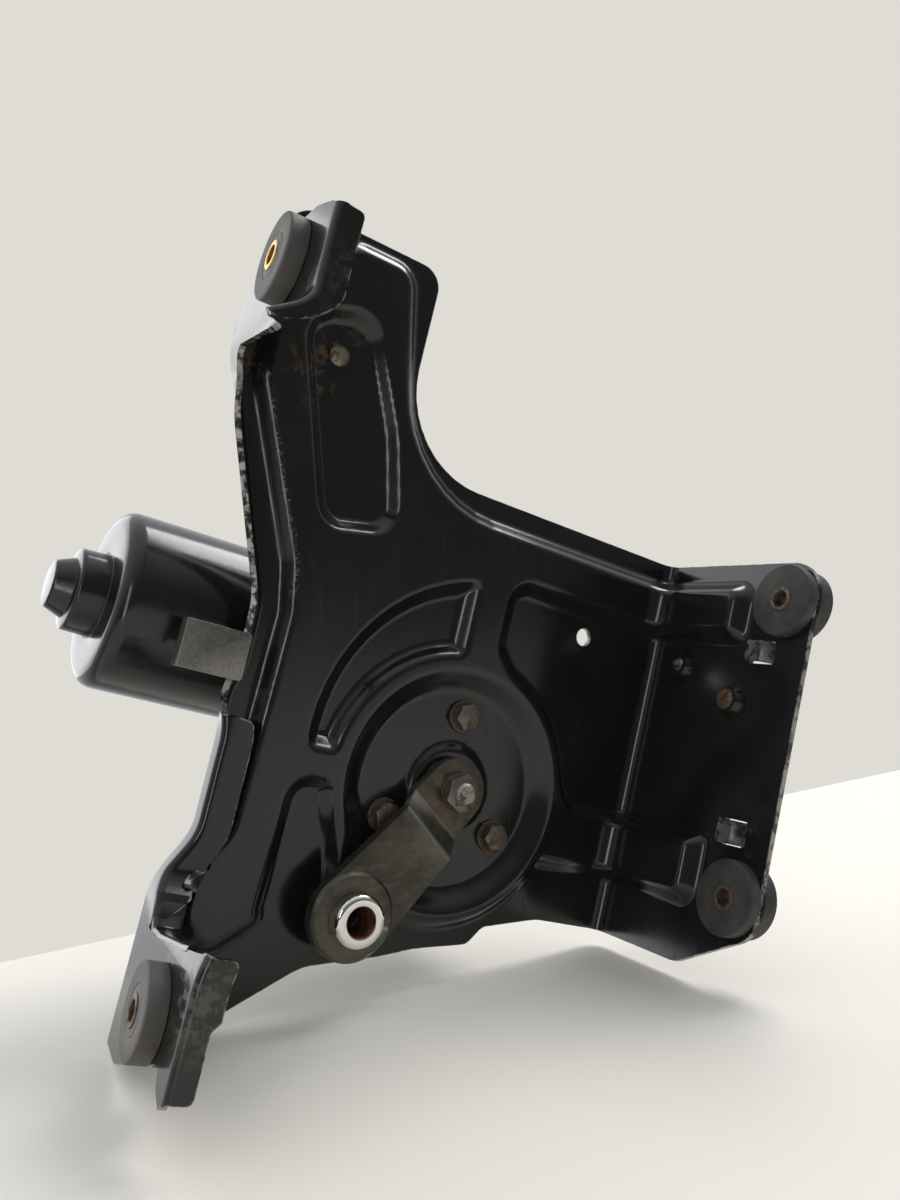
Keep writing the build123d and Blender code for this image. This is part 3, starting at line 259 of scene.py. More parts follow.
def rounded_edges(piece, bevel, degrees=30):
    """Turns a piece's faces outward and rounds its edges."""
    with edited(piece.data) as solid:
        bmesh.ops.recalc_face_normals(solid, faces=solid.faces)
        if bevel:
            sharp = [edge for edge in solid.edges if len(edge.link_faces) == 2
                     and edge.calc_face_angle(0) > math.radians(degrees)]
            bmesh.ops.bevel(solid, geom=sharp, offset=bevel * MM, segments=2, profile=0.5, affect="EDGES",
                            clamp_overlap=True)
    return sharpen(piece, degrees)


def ring_faces(first, second):
    """Quads between two closed rings of as many points each."""
    count = len(first)
    return [(first[index], first[(index + 1) % count], second[(index + 1) % count], second[index])
            for index in range(count)]


# The pressed sheet. It is laid out flat: s runs across it, round the bends, and z up along it. On the
# left wall and the ears a place is also given by its width, measured from where the left wall starts.

LEG_START = LEG_FACE - LEG_BEND
LEG_TURN = LEG_START + LEG_BEND * math.pi / 2
RIB_START = LEG_FACE - RIB_HEIGHT - RIB_CORNER
RIB_TURN = LEG_TURN + (DROP - LEG_BEND) + RIB_CORNER
WALL_START = -107.0
WALL_RISE = 4.15

# Widths at which the left wall turns inward, for an ear's front strip and for the lip, and the lip's reach
EAR_WALL = EAR_REACH - SHEET - LIP_BEND - WALL_RISE
LIP_WALL = 4.5
LIP_TURN = LIP_BEND * math.pi / 2
LIP_REACH = 9.0
LIP_END = LIP_WALL + LIP_TURN + LIP_REACH
LIP_ROOM = 14.0

# Heights between which the lip and the ears' strips run, and where the lip moves out to run into the ear
LIP_TOP = 11.5
LOWER_EAR_TOP = -64.3
UPPER_EAR_FOOT = 100.0
LIP_RUN_OUT = 16.2
RUN_OUT_START = -46.0
RUN_OUT_HEIGHT = 18.0
RUN_OUT_FADE = 20.0

# Left edge of the plate's back, and the angle at which its wall leans outward, each as (height, value)
EDGE_PATH = [(-125, LOWER_EDGE), (-52, LOWER_EDGE), (-33, -104.2), (19, -104.4), (30, -100.5), (56, -100.9),
             (132, -130.9), (140, -136.5), (146, UPPER_EDGE), (230, UPPER_EDGE)]
FLARE_PATH = [(-125, LOWER_FLARE), (-62, LOWER_FLARE), (-46, 3), (-38, 0), (6, 0), (20, 30), (120, 30),
              (139, UPPER_FLARE), (230, UPPER_FLARE)]


def along_path(path, z):
    """Value at a height, rounded at the path's corners."""
    heights, values = zip(*path)
    return sum(np.interp(z + shift, heights, values) for shift in np.linspace(-5, 5, 9)) / 9


def flare(z):
    return np.radians(along_path(FLARE_PATH, z))


def wall_foot(z):
    """Where the plate's front face ends and the bend to the left wall starts."""
    lean = flare(z)
    return (along_path(EDGE_PATH, z) + (SHEET + FLANGE_BEND * np.cos(lean) ** 2) / np.cos(lean)
            - (SHEET + FLANGE_BEND * (1 - np.sin(lean))) * np.tan(lean))


def wall_rise(z):
    """Distance along the left wall from the plate's back face to the end of the bend."""
    lean = flare(z)
    return (SHEET + FLANGE_BEND) * (1 - np.sin(lean)) / np.cos(lean)


def flange_unfold(width, z):
    """Place across the flat sheet of a point on the left wall, by its width beyond the bend."""
    return wall_foot(z) - FLANGE_BEND * (math.pi / 2 - flare(z)) - width


def leg_unfold(y):
    """Place across the flat sheet of a point on the leg."""
    return LEG_TURN + (DROP - LEG_BEND) - y


def lip_shift(z):
    """How much further out than along the lip the left wall turns inward, where the lip runs into the ear."""
    return (LIP_RUN_OUT - LIP_WALL) * ease((RUN_OUT_START - z) / RUN_OUT_HEIGHT)


def lip_start(width, z):
    """Width at which the left wall turns inward: an ear's front strip, the lip, or never."""
    lip = LIP_WALL + lip_shift(z)
    beside_lip = (z > LOWER_EAR_TOP) & (z < LIP_TOP) & (width < lip + LIP_ROOM)
    bare = (z >= LIP_TOP) & (z < UPPER_EAR_FOOT)
    return np.where(beside_lip, lip, np.where(bare, np.inf, EAR_WALL))


def across(s, z, raised):
    """Front surface of the sheet at a place of the flat layout, at the back level or at the raised one."""
    x, y = np.array(s, float), np.full_like(s, 0.0 if raised else DROP)
    if raised:
        turn = np.clip((s - RIB_START) / (RIB_TURN - RIB_START), 0, 1) * math.pi / 2
        bent = s > RIB_START
        x = np.where(bent, RIB_START + RIB_CORNER * np.sin(turn), x)
        y = np.where(bent, -RIB_CORNER * (1 - np.cos(turn)) - np.maximum(s - RIB_TURN, 0), y)
    else:
        turn = np.clip((s - LEG_START) / LEG_BEND, 0, math.pi / 2)
        bent = s > LEG_START
        x = np.where(bent, LEG_START + LEG_BEND * np.sin(turn), x)
        y = np.where(bent, DROP - LEG_BEND * (1 - np.cos(turn)) - np.maximum(s - LEG_TURN, 0), y)
    foot, end = wall_foot(z), math.pi / 2 - flare(z)
    run = np.maximum(foot - s, 0)
    turn = np.minimum(run / FLANGE_BEND, end)
    width = run - FLANGE_BEND * end
    start = lip_start(width, z)
    wall = np.clip(width, 0, start)
    past = np.maximum(width - start, 0)
    lip_turn = np.minimum(past / LIP_BEND, math.pi / 2)
    strip = np.maximum(past - LIP_TURN, 0)
    left_x = (foot - FLANGE_BEND * np.sin(turn) - wall * np.cos(end)
              - LIP_BEND * (np.sin(end + lip_turn) - np.sin(end)) + strip * np.sin(end))
    left_y = (y - FLANGE_BEND * (1 - np.cos(turn)) - wall * np.sin(end)
              - LIP_BEND * (np.cos(end) - np.cos(end + lip_turn)) - strip * np.cos(end))
    left = run > 0
    return np.where(left, left_x, x), np.where(left, left_y, y)


def raise_step(distance):
    """Share of the raised height, by the distance inside a raised form's top edge."""
    return ease((distance + WALL + FILLET) / (WALL + 2 * FILLET))


def sink_step(distance, wall=WALL):
    """Share of the raised height left in a recess, by the distance inside its edge."""
    return 1 - ease((distance + FILLET) / (wall + 2 * FILLET))


# Curved recess: its straight ends' height and place, and its arcs as (x, z, radius)
BEAN_LOW = 7.0
BEAN_LEFT = -9.0
BEAN_OUTER = (7.0, 14.0, 76.0)
BEAN_INNER = (0.0, SHAFT_Z, RING_EDGE + 2)
BEAN_CORNER = 6.0
BEAN_POINTS = 14

# A place past every edge of the leg, for a recess that runs off it, and the rounding of the pan's boss
OFF_SHEET = 400.0
BOSS_BLEND = 0.6


def bean_outline():
    """Curved recess that follows the pan: an outer arc, an inner arc and two straight ends."""
    corners = []
    for (x, z, radius), way in ((BEAN_OUTER, 1), (BEAN_INNER, -1)):
        first = math.atan2(BEAN_LOW - z, -math.sqrt(radius ** 2 - (BEAN_LOW - z) ** 2)) % (2 * math.pi)
        last = math.acos((BEAN_LEFT - x) / radius)
        turns = np.linspace(first, last, BEAN_POINTS)[::way]
        arc = [(x + radius * math.cos(turn), z + radius * math.sin(turn), 0) for turn in turns]
        arc[0] = (*arc[0][:2], BEAN_CORNER)
        arc[-1] = (*arc[-1][:2], BEAN_CORNER)
        corners += arc
    return arc_corners(corners)


def raised_share(s, z):
    """How far the sheet is pressed forward, from 0 at the back level to 1 at the raised face."""
    flat = np.column_stack((s, z))
    rib_end = leg_unfold(-RIB_REACH)
    island = arc_corners([
        (-122, 190, 10), (-96, 201, 8), (-74, 201, 8), (-53.6, UPPER_RIB[1], 66),
        (rib_end, UPPER_RIB[1], 4), (rib_end, LOWER_RIB[0], 4), (40, LOWER_RIB[0], 10),
        (-20, -30, 20), (-72, -60, 6), (-89, -74, 5), (-99, -62, 8), (-99, -46, 10),
        (-89, -30, 20), (-88, 54, 20), (-92, 73, 30), (-122, 138, 12)])
    window = arc_corners([(OFF_SHEET, UPPER_RIB[0], 0), (7, UPPER_RIB[0], 11), (7, 64, 8),
                          (61, LOWER_RIB[1], 9), (OFF_SHEET, LOWER_RIB[1], 0)])
    slot = arc_corners([(-115, 170, 14), (-84, 180, 14), (-62, 135, 60), (-51, 96, 12), (-86, 89, 12)])
    arch = arc_corners([(-72, -4, 11), (-46, -4, 11), (-40, -70, 0), (-60, -84, 0), (-74, -58, 0)])
    share = raise_step(inside_distance(flat, island))
    for recess in (window, slot, arch, bean_outline()):
        share = share * sink_step(inside_distance(flat, recess))
    radius = np.hypot(s, z - SHAFT_Z)
    ring = raise_step(RING_EDGE - radius)
    share = 1 - (1 - share) * (1 - ring)
    share = share * sink_step(PAN_RIM - radius, PAN_RIM - PAN_FLOOR)
    boss = ease((PAN_BOSS - radius + BOSS_BLEND) / (PAN_BOSS_RISE + 2 * BOSS_BLEND)) * PAN_BOSS_RISE / DROP
    return np.where(radius < PAN_FLOOR - FILLET, boss, share)


# Cut edge of the left wall, its lip and the ears, as (width, z, corner radius) from the top to the foot
UPPER_EAR_EDGE = [
    (-30, PLATE_TOP, 0), (-9.9, PLATE_TOP, 14), (-3.3, 177, 0), (-3.3, 163, 1.5), (1, 161.5, 2),
    (5.85, 162, 8), (27.85, 169, 20), (50.85, 176.5, 20), (67.85, 177, 14), (84, 173, 3),
    (EAR_WALL, 171.5, 1.5), (94.25, 170.4, 1.5), (94.25, 131, 3), (EAR_WALL, 130.2, 1), (61, 136.5, 25),
    (40, 140.5, 30), (10.3, 143, 8), (7.5, 136, 5), (6.9, 124, 4)]
LIP_EDGE = [
    (6.9, 14.5, 1), (4.3, 13, 0.5), (4.3, 11.8, 0.3), (LIP_END, 11, 0.8), (LIP_END, -38, 10), (23, -58, 6),
    (LIP_RUN_OUT, -64.2, 2)]
LOWER_EAR_EDGE = [
    (LIP_RUN_OUT, -65.6, 2), (30, -65.2, 6), (60, -61, 8), (84, -57.5, 3), (EAR_WALL, -56.5, 1.5),
    (95.5, -56.3, 3), (95.5, -74, 1), (93, -77, 1), (93, -97.5, 2), (EAR_WALL, -98, 1.5), (85.5, -101.5, 2),
    (76, -97.5, 4), (73.4, -92, 3), (58, -97.5, 10), (39, -104, 14), (18, -111, 12), (0, FOOT_Z, 0)]
EDGE_STEP = 2.5


def sheet_outline():
    """Edge of the laid-out sheet, as points of the flat layout."""
    left = arc_corners(UPPER_EAR_EDGE + LIP_EDGE + LOWER_EAR_EDGE, closed=False)
    fine = []
    for start, end in zip(left[:-1], left[1:]):
        steps = max(1, int(abs(end[1] - start[1]) / EDGE_STEP))
        fine += [start + (end - start) * t for t in np.linspace(0, 1, steps, endpoint=False)]
    fine.append(left[-1])
    fine = [(float(flange_unfold(width, z)), z) for width, z in fine]
    rest = arc_corners([
        fine[-1] + (0,), (-95, FOOT_Z, 8), (-76, -98.5, 10), (-46.5, -77, 20), (-14, -69.5, 12),
        (2, -64.5, 30), (27, -60, 6), (33, -52, 6), (60, -45.5, 20),
        (leg_unfold(-45.6), LEG_BOTTOM, 10), (leg_unfold(-LEG_REACH), -26.8, 10),
        (leg_unfold(-LEG_REACH), LEG_TOP, 14), (LEG_START, LEG_TOP, 0), (-58.5, LEG_TOP, 70),
        (-58.5, PLATE_TOP, 9), fine[0] + (0,)], closed=False)
    return np.array(fine + [tuple(point) for point in rest[1:-1]])


# Round holes as (s, z, radius), the ears' mounts apart
HOLES = {
    "clip": (53.1, 80.7, 4.0), "neck": (-29.0, 136.0, 2.2), "slot screw": (-94.2, 157.8, 2.6),
    "output shaft": (0.0, SHAFT_Z, 13.0), "open collar": (leg_unfold(-16.0), 78.7, 3.2),
    "upper right mount": (leg_unfold(UPPER_RIGHT[0]), UPPER_RIGHT[1], GROMMET_NECK),
    "lower right mount": (leg_unfold(LOWER_RIGHT[0]), LOWER_RIGHT[1], GROMMET_NECK),
}


def sheet_room(points):
    """Distance of each place of the flat layout to the nearest cut edge, positive on the sheet."""
    s, z = points[:, 0], points[:, 1]
    room = inside_distance(points, sheet_outline())
    for at, height, radius in HOLES.values():
        room = np.minimum(room, np.hypot(s - at, z - height) - radius)
    for y, height in (UPPER_LEFT, LOWER_LEFT):
        width = flange_unfold(0, z) - s
        room = np.minimum(room, np.hypot(width + y + wall_rise(z), z - height) - GROMMET_NECK)
    for y, low, high in TABS:
        length = TAB_LENGTH + TAB_GAP
        beyond = np.abs(s - leg_unfold(y + length / 2)) - length / 2
        beside = np.abs(z - (low + high) / 2) - (high - low) / 2
        room = np.minimum(room, np.maximum(beyond, beside))
    return room


# Columns of the grid, as (low, high, spacing), outward from where the left wall starts and inward from
# there to the leg's end. The left wall's bends get the closest ones. No row lies on a height where the
# lip or the lower ear starts, and the rows there are two GAPs apart. Columns on the plate follow the
# wall's slanting foot near it and fade to upright ones.
OUTWARD = [(0, LIP_WALL, 1.5), (LIP_WALL, LIP_WALL + LIP_TURN, 0.28), (LIP_WALL + LIP_TURN, 15, 1.3),
           (15, EAR_WALL, 2.4), (EAR_WALL, EAR_WALL + LIP_TURN, 0.28), (EAR_WALL + LIP_TURN, 98, 1.3)]
BEND_END = FLANGE_BEND * math.pi / 2
LEG_RIBS_END = leg_unfold(-52) - WALL_START
INWARD = [(0, BEND_END, 0.52), (BEND_END, LEG_RIBS_END, 1.15),
          (LEG_RIBS_END, leg_unfold(-LEG_REACH) - WALL_START + 2, 2.0)]
ROW_STEP = 1.2
GAP = 0.1
FADE_START = 5.0
FADE = 80.0

# Share of the lip's shift that a column takes, by its width
SHIFTED_COLUMNS = ((0, LIP_WALL, 15.5, 34), (0, 1, 1, 0))


def spaced(spans):
    """Places along touching spans, each with its own spacing."""
    return np.concatenate([np.linspace(low, high, math.ceil((high - low) / step), endpoint=False)
                           for low, high, step in spans])


def sheet_grid():
    """Grid of the flat layout whose columns follow the bends: close where it is pressed, wide elsewhere."""
    spans = [(FOOT_Z - 3, LOWER_EAR_TOP - GAP), (LOWER_EAR_TOP + GAP, LIP_TOP - GAP),
             (LIP_TOP + GAP, PLATE_TOP + 2)]
    blocks = [np.linspace(low, high, math.ceil((high - low) / ROW_STEP)) for low, high in spans]
    place, z = np.meshgrid(np.concatenate((-spaced(OUTWARD)[:0:-1], spaced(INWARD))), np.concatenate(blocks))
    below = lip_shift(np.full_like(z, LOWER_EAR_TOP)) * (1 - ease((LOWER_EAR_TOP - z) / RUN_OUT_FADE))
    shift = np.where(z > LOWER_EAR_TOP, np.where(z < LIP_TOP, lip_shift(z), 0), below)
    width = -place + shift * np.interp(-place, *SHIFTED_COLUMNS)
    start = flange_unfold(0, z)
    inside = place + WALL_START + (start - WALL_START) * (1 - ease((place - FADE_START) / FADE))
    s = np.where(place < 0, start - width, inside)
    return s, z, [len(block) for block in blocks]


def cut_cells(room, shape):
    """Faces of the grid inside the sheet's edge, with the places where the edge crosses the grid.

    Each crossing is given as the two grid points that it lies between and its share of the way.
    """
    count = shape[1]
    known = {}
    crossings = []
    faces = []
    inside = room > 0

    def crossing(a, b):
        a, b = min(a, b), max(a, b)
        if (a, b) not in known:
            known[a, b] = len(room) + len(crossings)
            crossings.append((a, b, room[a] / (room[a] - room[b])))
        return known[a, b]

    for row in range(shape[0] - 1):
        for column in range(count - 1):
            first = row * count + column
            cell = (first, first + 1, first + 1 + count, first + count)
            held = [inside[index] for index in cell]
            if all(held):
                faces.append(cell)
            elif any(held):
                face = []
                for index in range(4):
                    a, b = cell[index], cell[(index + 1) % 4]
                    if inside[a]:
                        face.append(a)
                    if inside[a] != inside[b]:
                        face.append(crossing(a, b))
                if len(face) > 2:
                    faces.append(tuple(face))
    return faces, crossings


def surface_normals(surface, blocks):
    """Normals towards the front of a grid of points, worked out apart for each block of rows."""
    parts = np.split(surface, np.cumsum(blocks)[:-1])
    return np.concatenate([unit(np.cross(np.gradient(part, axis=1), np.gradient(part, axis=0)))
                           for part in parts])


# Grid points nearer to the cut edge than this count as on the sheet, so that no sliver is cut
NO_SLIVER = 0.06

# Ridge of the raised face that is rubbed through to grey: its line as (height, x), low end first, the
# heights between which it is worn, and how far from its line the wear starts to fade and ends
RIDGE = [(20, -87.5), (54, -88.5), (74, -91.5), (95, -101.5), (138, -121.5)]
RIDGE_WORN = (60, 139)
RIDGE_FULL = 0.22
RIDGE_END = 1.32


def ridge_wear(points):
    """How far the sheet is worn at each point of the bracket's frame."""
    x, _, z = points.T
    aside = np.abs(x - np.interp(z, *zip(*RIDGE)))
    worn = np.clip((RIDGE_END - aside) / (RIDGE_END - RIDGE_FULL), 0, 1)
    return worn * ((z > RIDGE_WORN[0]) & (z < RIDGE_WORN[1]))


def shade_sheet(mesh, normal, rim_start):
    """Shading of the sheet's two faces by its own normals, and of its cut edge face by face."""
    shading = np.concatenate((normal, -normal)) @ np.array(STAND.to_3x3().normalized()).T
    loops = np.empty(len(mesh.loops), int)
    mesh.loops.foreach_get("vertex_index", loops)
    loop_normals = shading[loops]
    for polygon in mesh.polygons[rim_start:]:
        for loop in polygon.loop_indices:
            loop_normals[loop] = polygon.normal
    mesh.normals_split_custom_set([tuple(value) for value in loop_normals])


def pressed_sheet():
    """The bracket as one bent and pressed sheet, with what its paint needs to know kept on its mesh."""
    grid_s, grid_z, blocks = sheet_grid()
    s, z = grid_s.ravel(), grid_z.ravel()
    room = sheet_room(np.column_stack((s, z)))
    room = np.where(np.abs(room) < NO_SLIVER, NO_SLIVER, room)
    share = np.where(s < wall_foot(z), 0, raised_share(s, z))
    low_x, low_y = across(s, z, False)
    high_x, high_y = across(s, z, True)
    x, y = low_x + (high_x - low_x) * share, low_y + (high_y - low_y) * share
    surface = np.column_stack((x, y, z)).reshape(*grid_s.shape, 3)
    faces, crossings = cut_cells(room, grid_s.shape)
    first, second, part = (np.array(values) for values in zip(*crossings))
    part = part[:, None]
    used = sorted({index for face in faces for index in face})
    renumber = {old: new for new, old in enumerate(used)}
    faces = [tuple(renumber[index] for index in face) for face in faces]

    def kept(values):
        values = values.reshape(len(s), -1)
        cut = values[first] * (1 - part) + values[second] * part
        return np.concatenate((values, cut))[used]

    front = kept(surface)
    normal = unit(kept(surface_normals(surface, blocks)))
    edge_distance = np.where(np.array(used) < len(s), kept(np.maximum(room, 0)).ravel(), 0)
    points = np.concatenate((front, front - normal * SHEET))
    count = len(front)
    sides = {(a, b) for face in faces for a, b in zip(face, face[1:] + face[:1])}
    rim = [(b, a, a + count, b + count) for a, b in sides if (b, a) not in sides]
    back = [tuple(index + count for index in reversed(face)) for face in faces]
    piece = mesh_object("pressed_bracket", points, faces + back + rim)
    shade_sheet(piece.data, normal, 2 * len(faces))
    keep_values(piece.data, "edge_distance", np.tile(edge_distance, 2))
    keep_values(piece.data, "ridge_wear", ridge_wear(points))
    keep_values(piece.data, "cut_face", np.repeat((0.0, 1.0), (2 * len(faces), len(rim))), "FACE")
    return piece


# Line of the lip on the lower ear, as (width, z, corner radius), and its reach at shares of that line
EAR_LIP_LINE = [(15.5, -54.5, 0), (19.5, -61.5, 4), (24, -66.2, 4), (34, -66, 12), (64, -61.8, 20),
                (74, -60.0, 0)]
EAR_LIP_REACH = ((0, 0.15, 0.5, 1), (12, 11, 8, 3.5))


def ear_lip_section(reach):
    """Section of the lip as (distance from the ear's outer face, height), rounded where it is bent."""
    return [(0.5, 0), (0.5, 0.9), (0.9, 1.8), (1.8, SHEET), (reach - 0.4, SHEET), (reach, SHEET - 0.4),
            (reach, 0)]


def ear_lip():
    """Lip that goes on from the left flange along the top of the lower ear, narrower to its end."""
    line = arc_corners(EAR_LIP_LINE, closed=False)
    run = np.concatenate(([0], np.cumsum(np.linalg.norm(np.diff(line, axis=0), axis=1))))
    reaches = np.interp(run / run[-1], *EAR_LIP_REACH)
    along = unit(np.gradient(line, axis=0))
    up = np.column_stack((-along[:, 1], along[:, 0]))
    lean = math.radians(LOWER_FLARE)
    points, faces, rings = [], [], []
    for (width, z), (forward, rise), reach in zip(line, up, reaches):
        section = ear_lip_section(reach)
        rings.append(range(len(points), len(points) + len(section)))
        for inward, height in section:
            out = width + forward * height
            points.append((LOWER_EDGE + inward * math.cos(lean) - out * math.sin(lean),
                           DROP + SHEET - inward * math.sin(lean) - out * math.cos(lean), z + rise * height))
    for ring, other in zip(rings[:-1], rings[1:]):
        faces += ring_faces(ring, other)
    faces += [tuple(rings[0]), tuple(reversed(rings[-1]))]
    return rounded_edges(mesh_object("lower_ear_lip", points, faces), 0, degrees=50)


def tab_mesh(y, low, high):
    """Tab lanced out of the leg and pressed inwards, as points and faces."""
    inner, outer, tip = LEG_FACE - TAB_RISE, LEG_FACE + SHEET, y + TAB_LENGTH
    side = [(LEG_FACE, y - 0.5), (outer, y - 0.5), (outer, y + 1), (inner + SHEET, y + 5),
            (inner + SHEET, tip), (inner, tip), (inner, y + 4)]
    count = len(side)
    points = [(x, at, z) for z in (low + 0.4, high - 0.4) for x, at in side]
    near, far = range(count), range(count, 2 * count)
    return points, [tuple(near), tuple(reversed(far))] + ring_faces(far, near)


def lanced_tabs():
    """Both tabs of the leg as one piece with rounded edges."""
    points, faces = [], []
    for tab in TABS:
        more, shell = tab_mesh(*tab)
        faces += [tuple(index + len(points) for index in face) for face in shell]
        points += more
    return rounded_edges(mesh_object("lanced_tabs", points, faces), 0.3)


# Turned and forged pieces

def turned(name, profile, place=(0, 0, 0), axis="X", segments=96):
    """Piece turned on the X or Y axis, from (along, radius, corner radius) points of a closed section."""
    points, faces, rings = [], [], []
    for along, radius in arc_corners(profile, step=math.radians(12)):
        if radius < 1e-6:
            rings.append([len(points)] * segments)
            points.append((along, 0.0, 0.0))
            continue
        rings.append(range(len(points), len(points) + segments))
        for turn in np.linspace(0, 2 * math.pi, segments, endpoint=False):
            points.append((along, radius * math.cos(turn), radius * math.sin(turn)))
    for ring, other in zip(rings, rings[1:] + rings[:1]):
        corners = [tuple(dict.fromkeys(face)) for face in ring_faces(ring, other)]
        faces += [face for face in corners if len(face) > 2]
    points = np.array(points)
    if axis == "Y":
        points = points[:, [1, 0, 2]]
    return rounded_edges(mesh_object(name, points + np.array(place), faces), 0, 35)


def refined(node, name, bevel):
    """Copy of a CAD node with its points merged, its edges rounded and its curved faces shaded smooth."""
    mesh = frame["nodes"][node].data.copy()
    mesh.name = name
    with edited(mesh) as solid:
        bmesh.ops.remove_doubles(solid, verts=solid.verts, dist=2e-6)
        bmesh.ops.dissolve_limit(solid, angle_limit=math.radians(1), verts=solid.verts, edges=solid.edges)
    return rounded_edges(new_object(name, mesh), bevel)


def circle(radius, y, turns):
    """Points round the Y axis; the radius is one number or one for each point."""
    return [(r * math.cos(t), h, r * math.sin(t)) for r, h, t in np.broadcast(radius, y, turns)]


def hex_head(across_flats, height, top_radius, samples=72):
    """Hexagonal head with its round chamfer, its base at 0 and its top at -height along Y."""
    turns = np.linspace(0, 2 * math.pi, samples, endpoint=False)
    hexed = across_flats / 2 / np.cos((turns + math.pi / 6) % (math.pi / 3) - math.pi / 6)
    shoulder = -height + np.maximum(hexed - top_radius, 0) * math.tan(CHAMFER_ANGLE)
    points = circle(hexed, 0.0, turns) + circle(hexed, shoulder, turns) + circle(top_radius, -height, turns)
    base, shoulder_ring, top = (range(start, start + samples) for start in (0, samples, 2 * samples))
    faces = ring_faces(base, shoulder_ring) + ring_faces(shoulder_ring, top)
    return points, faces + [tuple(reversed(base)), tuple(top)]


def bolt_mesh():
    """Hex bolt about its own origin, with its head's base at 0 and its shank along Y."""
    points, faces = hex_head(BOLT_HEX, BOLT_HEAD, BOLT_HEX / 2 - BOLT_CHAMFER)
    first, sides = len(points), 24
    turns = np.linspace(0, 2 * math.pi, sides, endpoint=False)
    points += circle(BOLT_SHANK, -BOLT_SUNK, turns) + circle(BOLT_SHANK, BOLT_LENGTH, turns)
    near, far = range(first, first + sides), range(first + sides, first + 2 * sides)
    faces += ring_faces(near, far) + [tuple(reversed(near)), tuple(far)]
    mesh = new_mesh("bolt", points, faces)
    with edited(mesh) as solid:
        bmesh.ops.recalc_face_normals(solid, faces=solid.faces)
    return mesh


def taken_mesh(sample):
    """Mesh of a sample piece, back in millimetres about its own origin."""
    mesh = sample.data
    mesh.transform(STAND.inverted())
    bpy.data.objects.remove(sample)
    return mesh


# Nodes

class Number:
    """A value in a finish's nodes. Arithmetic on it adds Math nodes."""

    def __init__(self, finish, socket):
        self.finish = finish
        self.socket = socket

    def math(self, operation, *values):
        node = self.finish.add("Math", {"operation": operation}, dict(enumerate(values)))
        return Number(self.finish, node.outputs[0])

    def __add__(self, other):
        return self.math("ADD", self, other)

    __radd__ = __add__

    def __sub__(self, other):
        return self.math("SUBTRACT", self, other)

    def __rsub__(self, other):
        return self.math("SUBTRACT", other, self)

    def __mul__(self, other):
        return self.math("MULTIPLY", self, other)

    __rmul__ = __mul__

    def larger(self, other):
        return self.math("MAXIMUM", self, other)

    def band(self, low, high):
        """0 at low and beyond, 1 at high and beyond, and smooth between; low may be the larger."""
        node = self.finish.add("MapRange", {"interpolation_type": "SMOOTHSTEP"},
                               {"Value": self, "From Min": low, "From Max": high})
        return Number(self.finish, node.outputs[0])


def add_node(tree, kind, settings, sockets):
    """A node of a kind, with its settings made first and then its sockets fed by values or links."""
    node = tree.nodes.new(kind)
    for name, value in settings.items():
        setattr(node, name, value)
    for key, value in sockets.items():
        if isinstance(value, Number):
            value = value.socket
        if isinstance(value, bpy.types.NodeSocket):
            tree.links.new(value, node.inputs[key])
        else:
            node.inputs[key].default_value = value
    return node


# Repeated pieces

REPEAT_INPUTS = {"Geometry": "Geometry", "Piece": "Object", "Size": "Float", "Uneven Turn": "Float",
                 "Seed": "Int", "Material": "Material"}


def repeat_tree(name):
    """Node tree that sets a piece at every point, turned by the point's own angles and sized by an input."""
    tree = bpy.data.node_groups.new(name, "GeometryNodeTree")
    for label, kind in REPEAT_INPUTS.items():
        tree.interface.new_socket(label, in_out="INPUT", socket_type="NodeSocket" + kind)
    tree.interface.new_socket("Geometry", in_out="OUTPUT", socket_type="NodeSocketGeometry")

    def add(kind, settings, sockets):
        return add_node(tree, kind, settings, sockets).outputs

    given = add("NodeGroupInput", {}, {})
    piece = add("GeometryNodeObjectInfo", {}, {"Object": given["Piece"]})["Geometry"]
    named = add("GeometryNodeInputNamedAttribute", {"data_type": "FLOAT_VECTOR"}, {"Name": "turn"})
    least = add("ShaderNodeMath", {"operation": "MULTIPLY"}, {0: given["Uneven Turn"], 1: -1.0})[0]
    uneven = add("FunctionNodeRandomValue", {"data_type": "FLOAT"},
                 {"Min": least, "Max": given["Uneven Turn"], "Seed": given["Seed"]})["Value"]
    spin = add("ShaderNodeCombineXYZ", {}, {"Y": uneven})[0]
    total = add("ShaderNodeVectorMath", {"operation": "ADD"}, {0: named["Attribute"], 1: spin})[0]
    placed = add("GeometryNodeInstanceOnPoints", {}, {
        "Points": given["Geometry"], "Instance": piece, "Rotation": total, "Scale": given["Size"]})[0]
    real = add("GeometryNodeRealizeInstances", {}, {0: placed})[0]
    painted = add("GeometryNodeSetMaterial", {}, {"Geometry": real, "Material": given["Material"]})[0]
    add("NodeGroupOutput", {}, {0: painted})
    return tree


REPEAT = repeat_tree("pieces at their places")


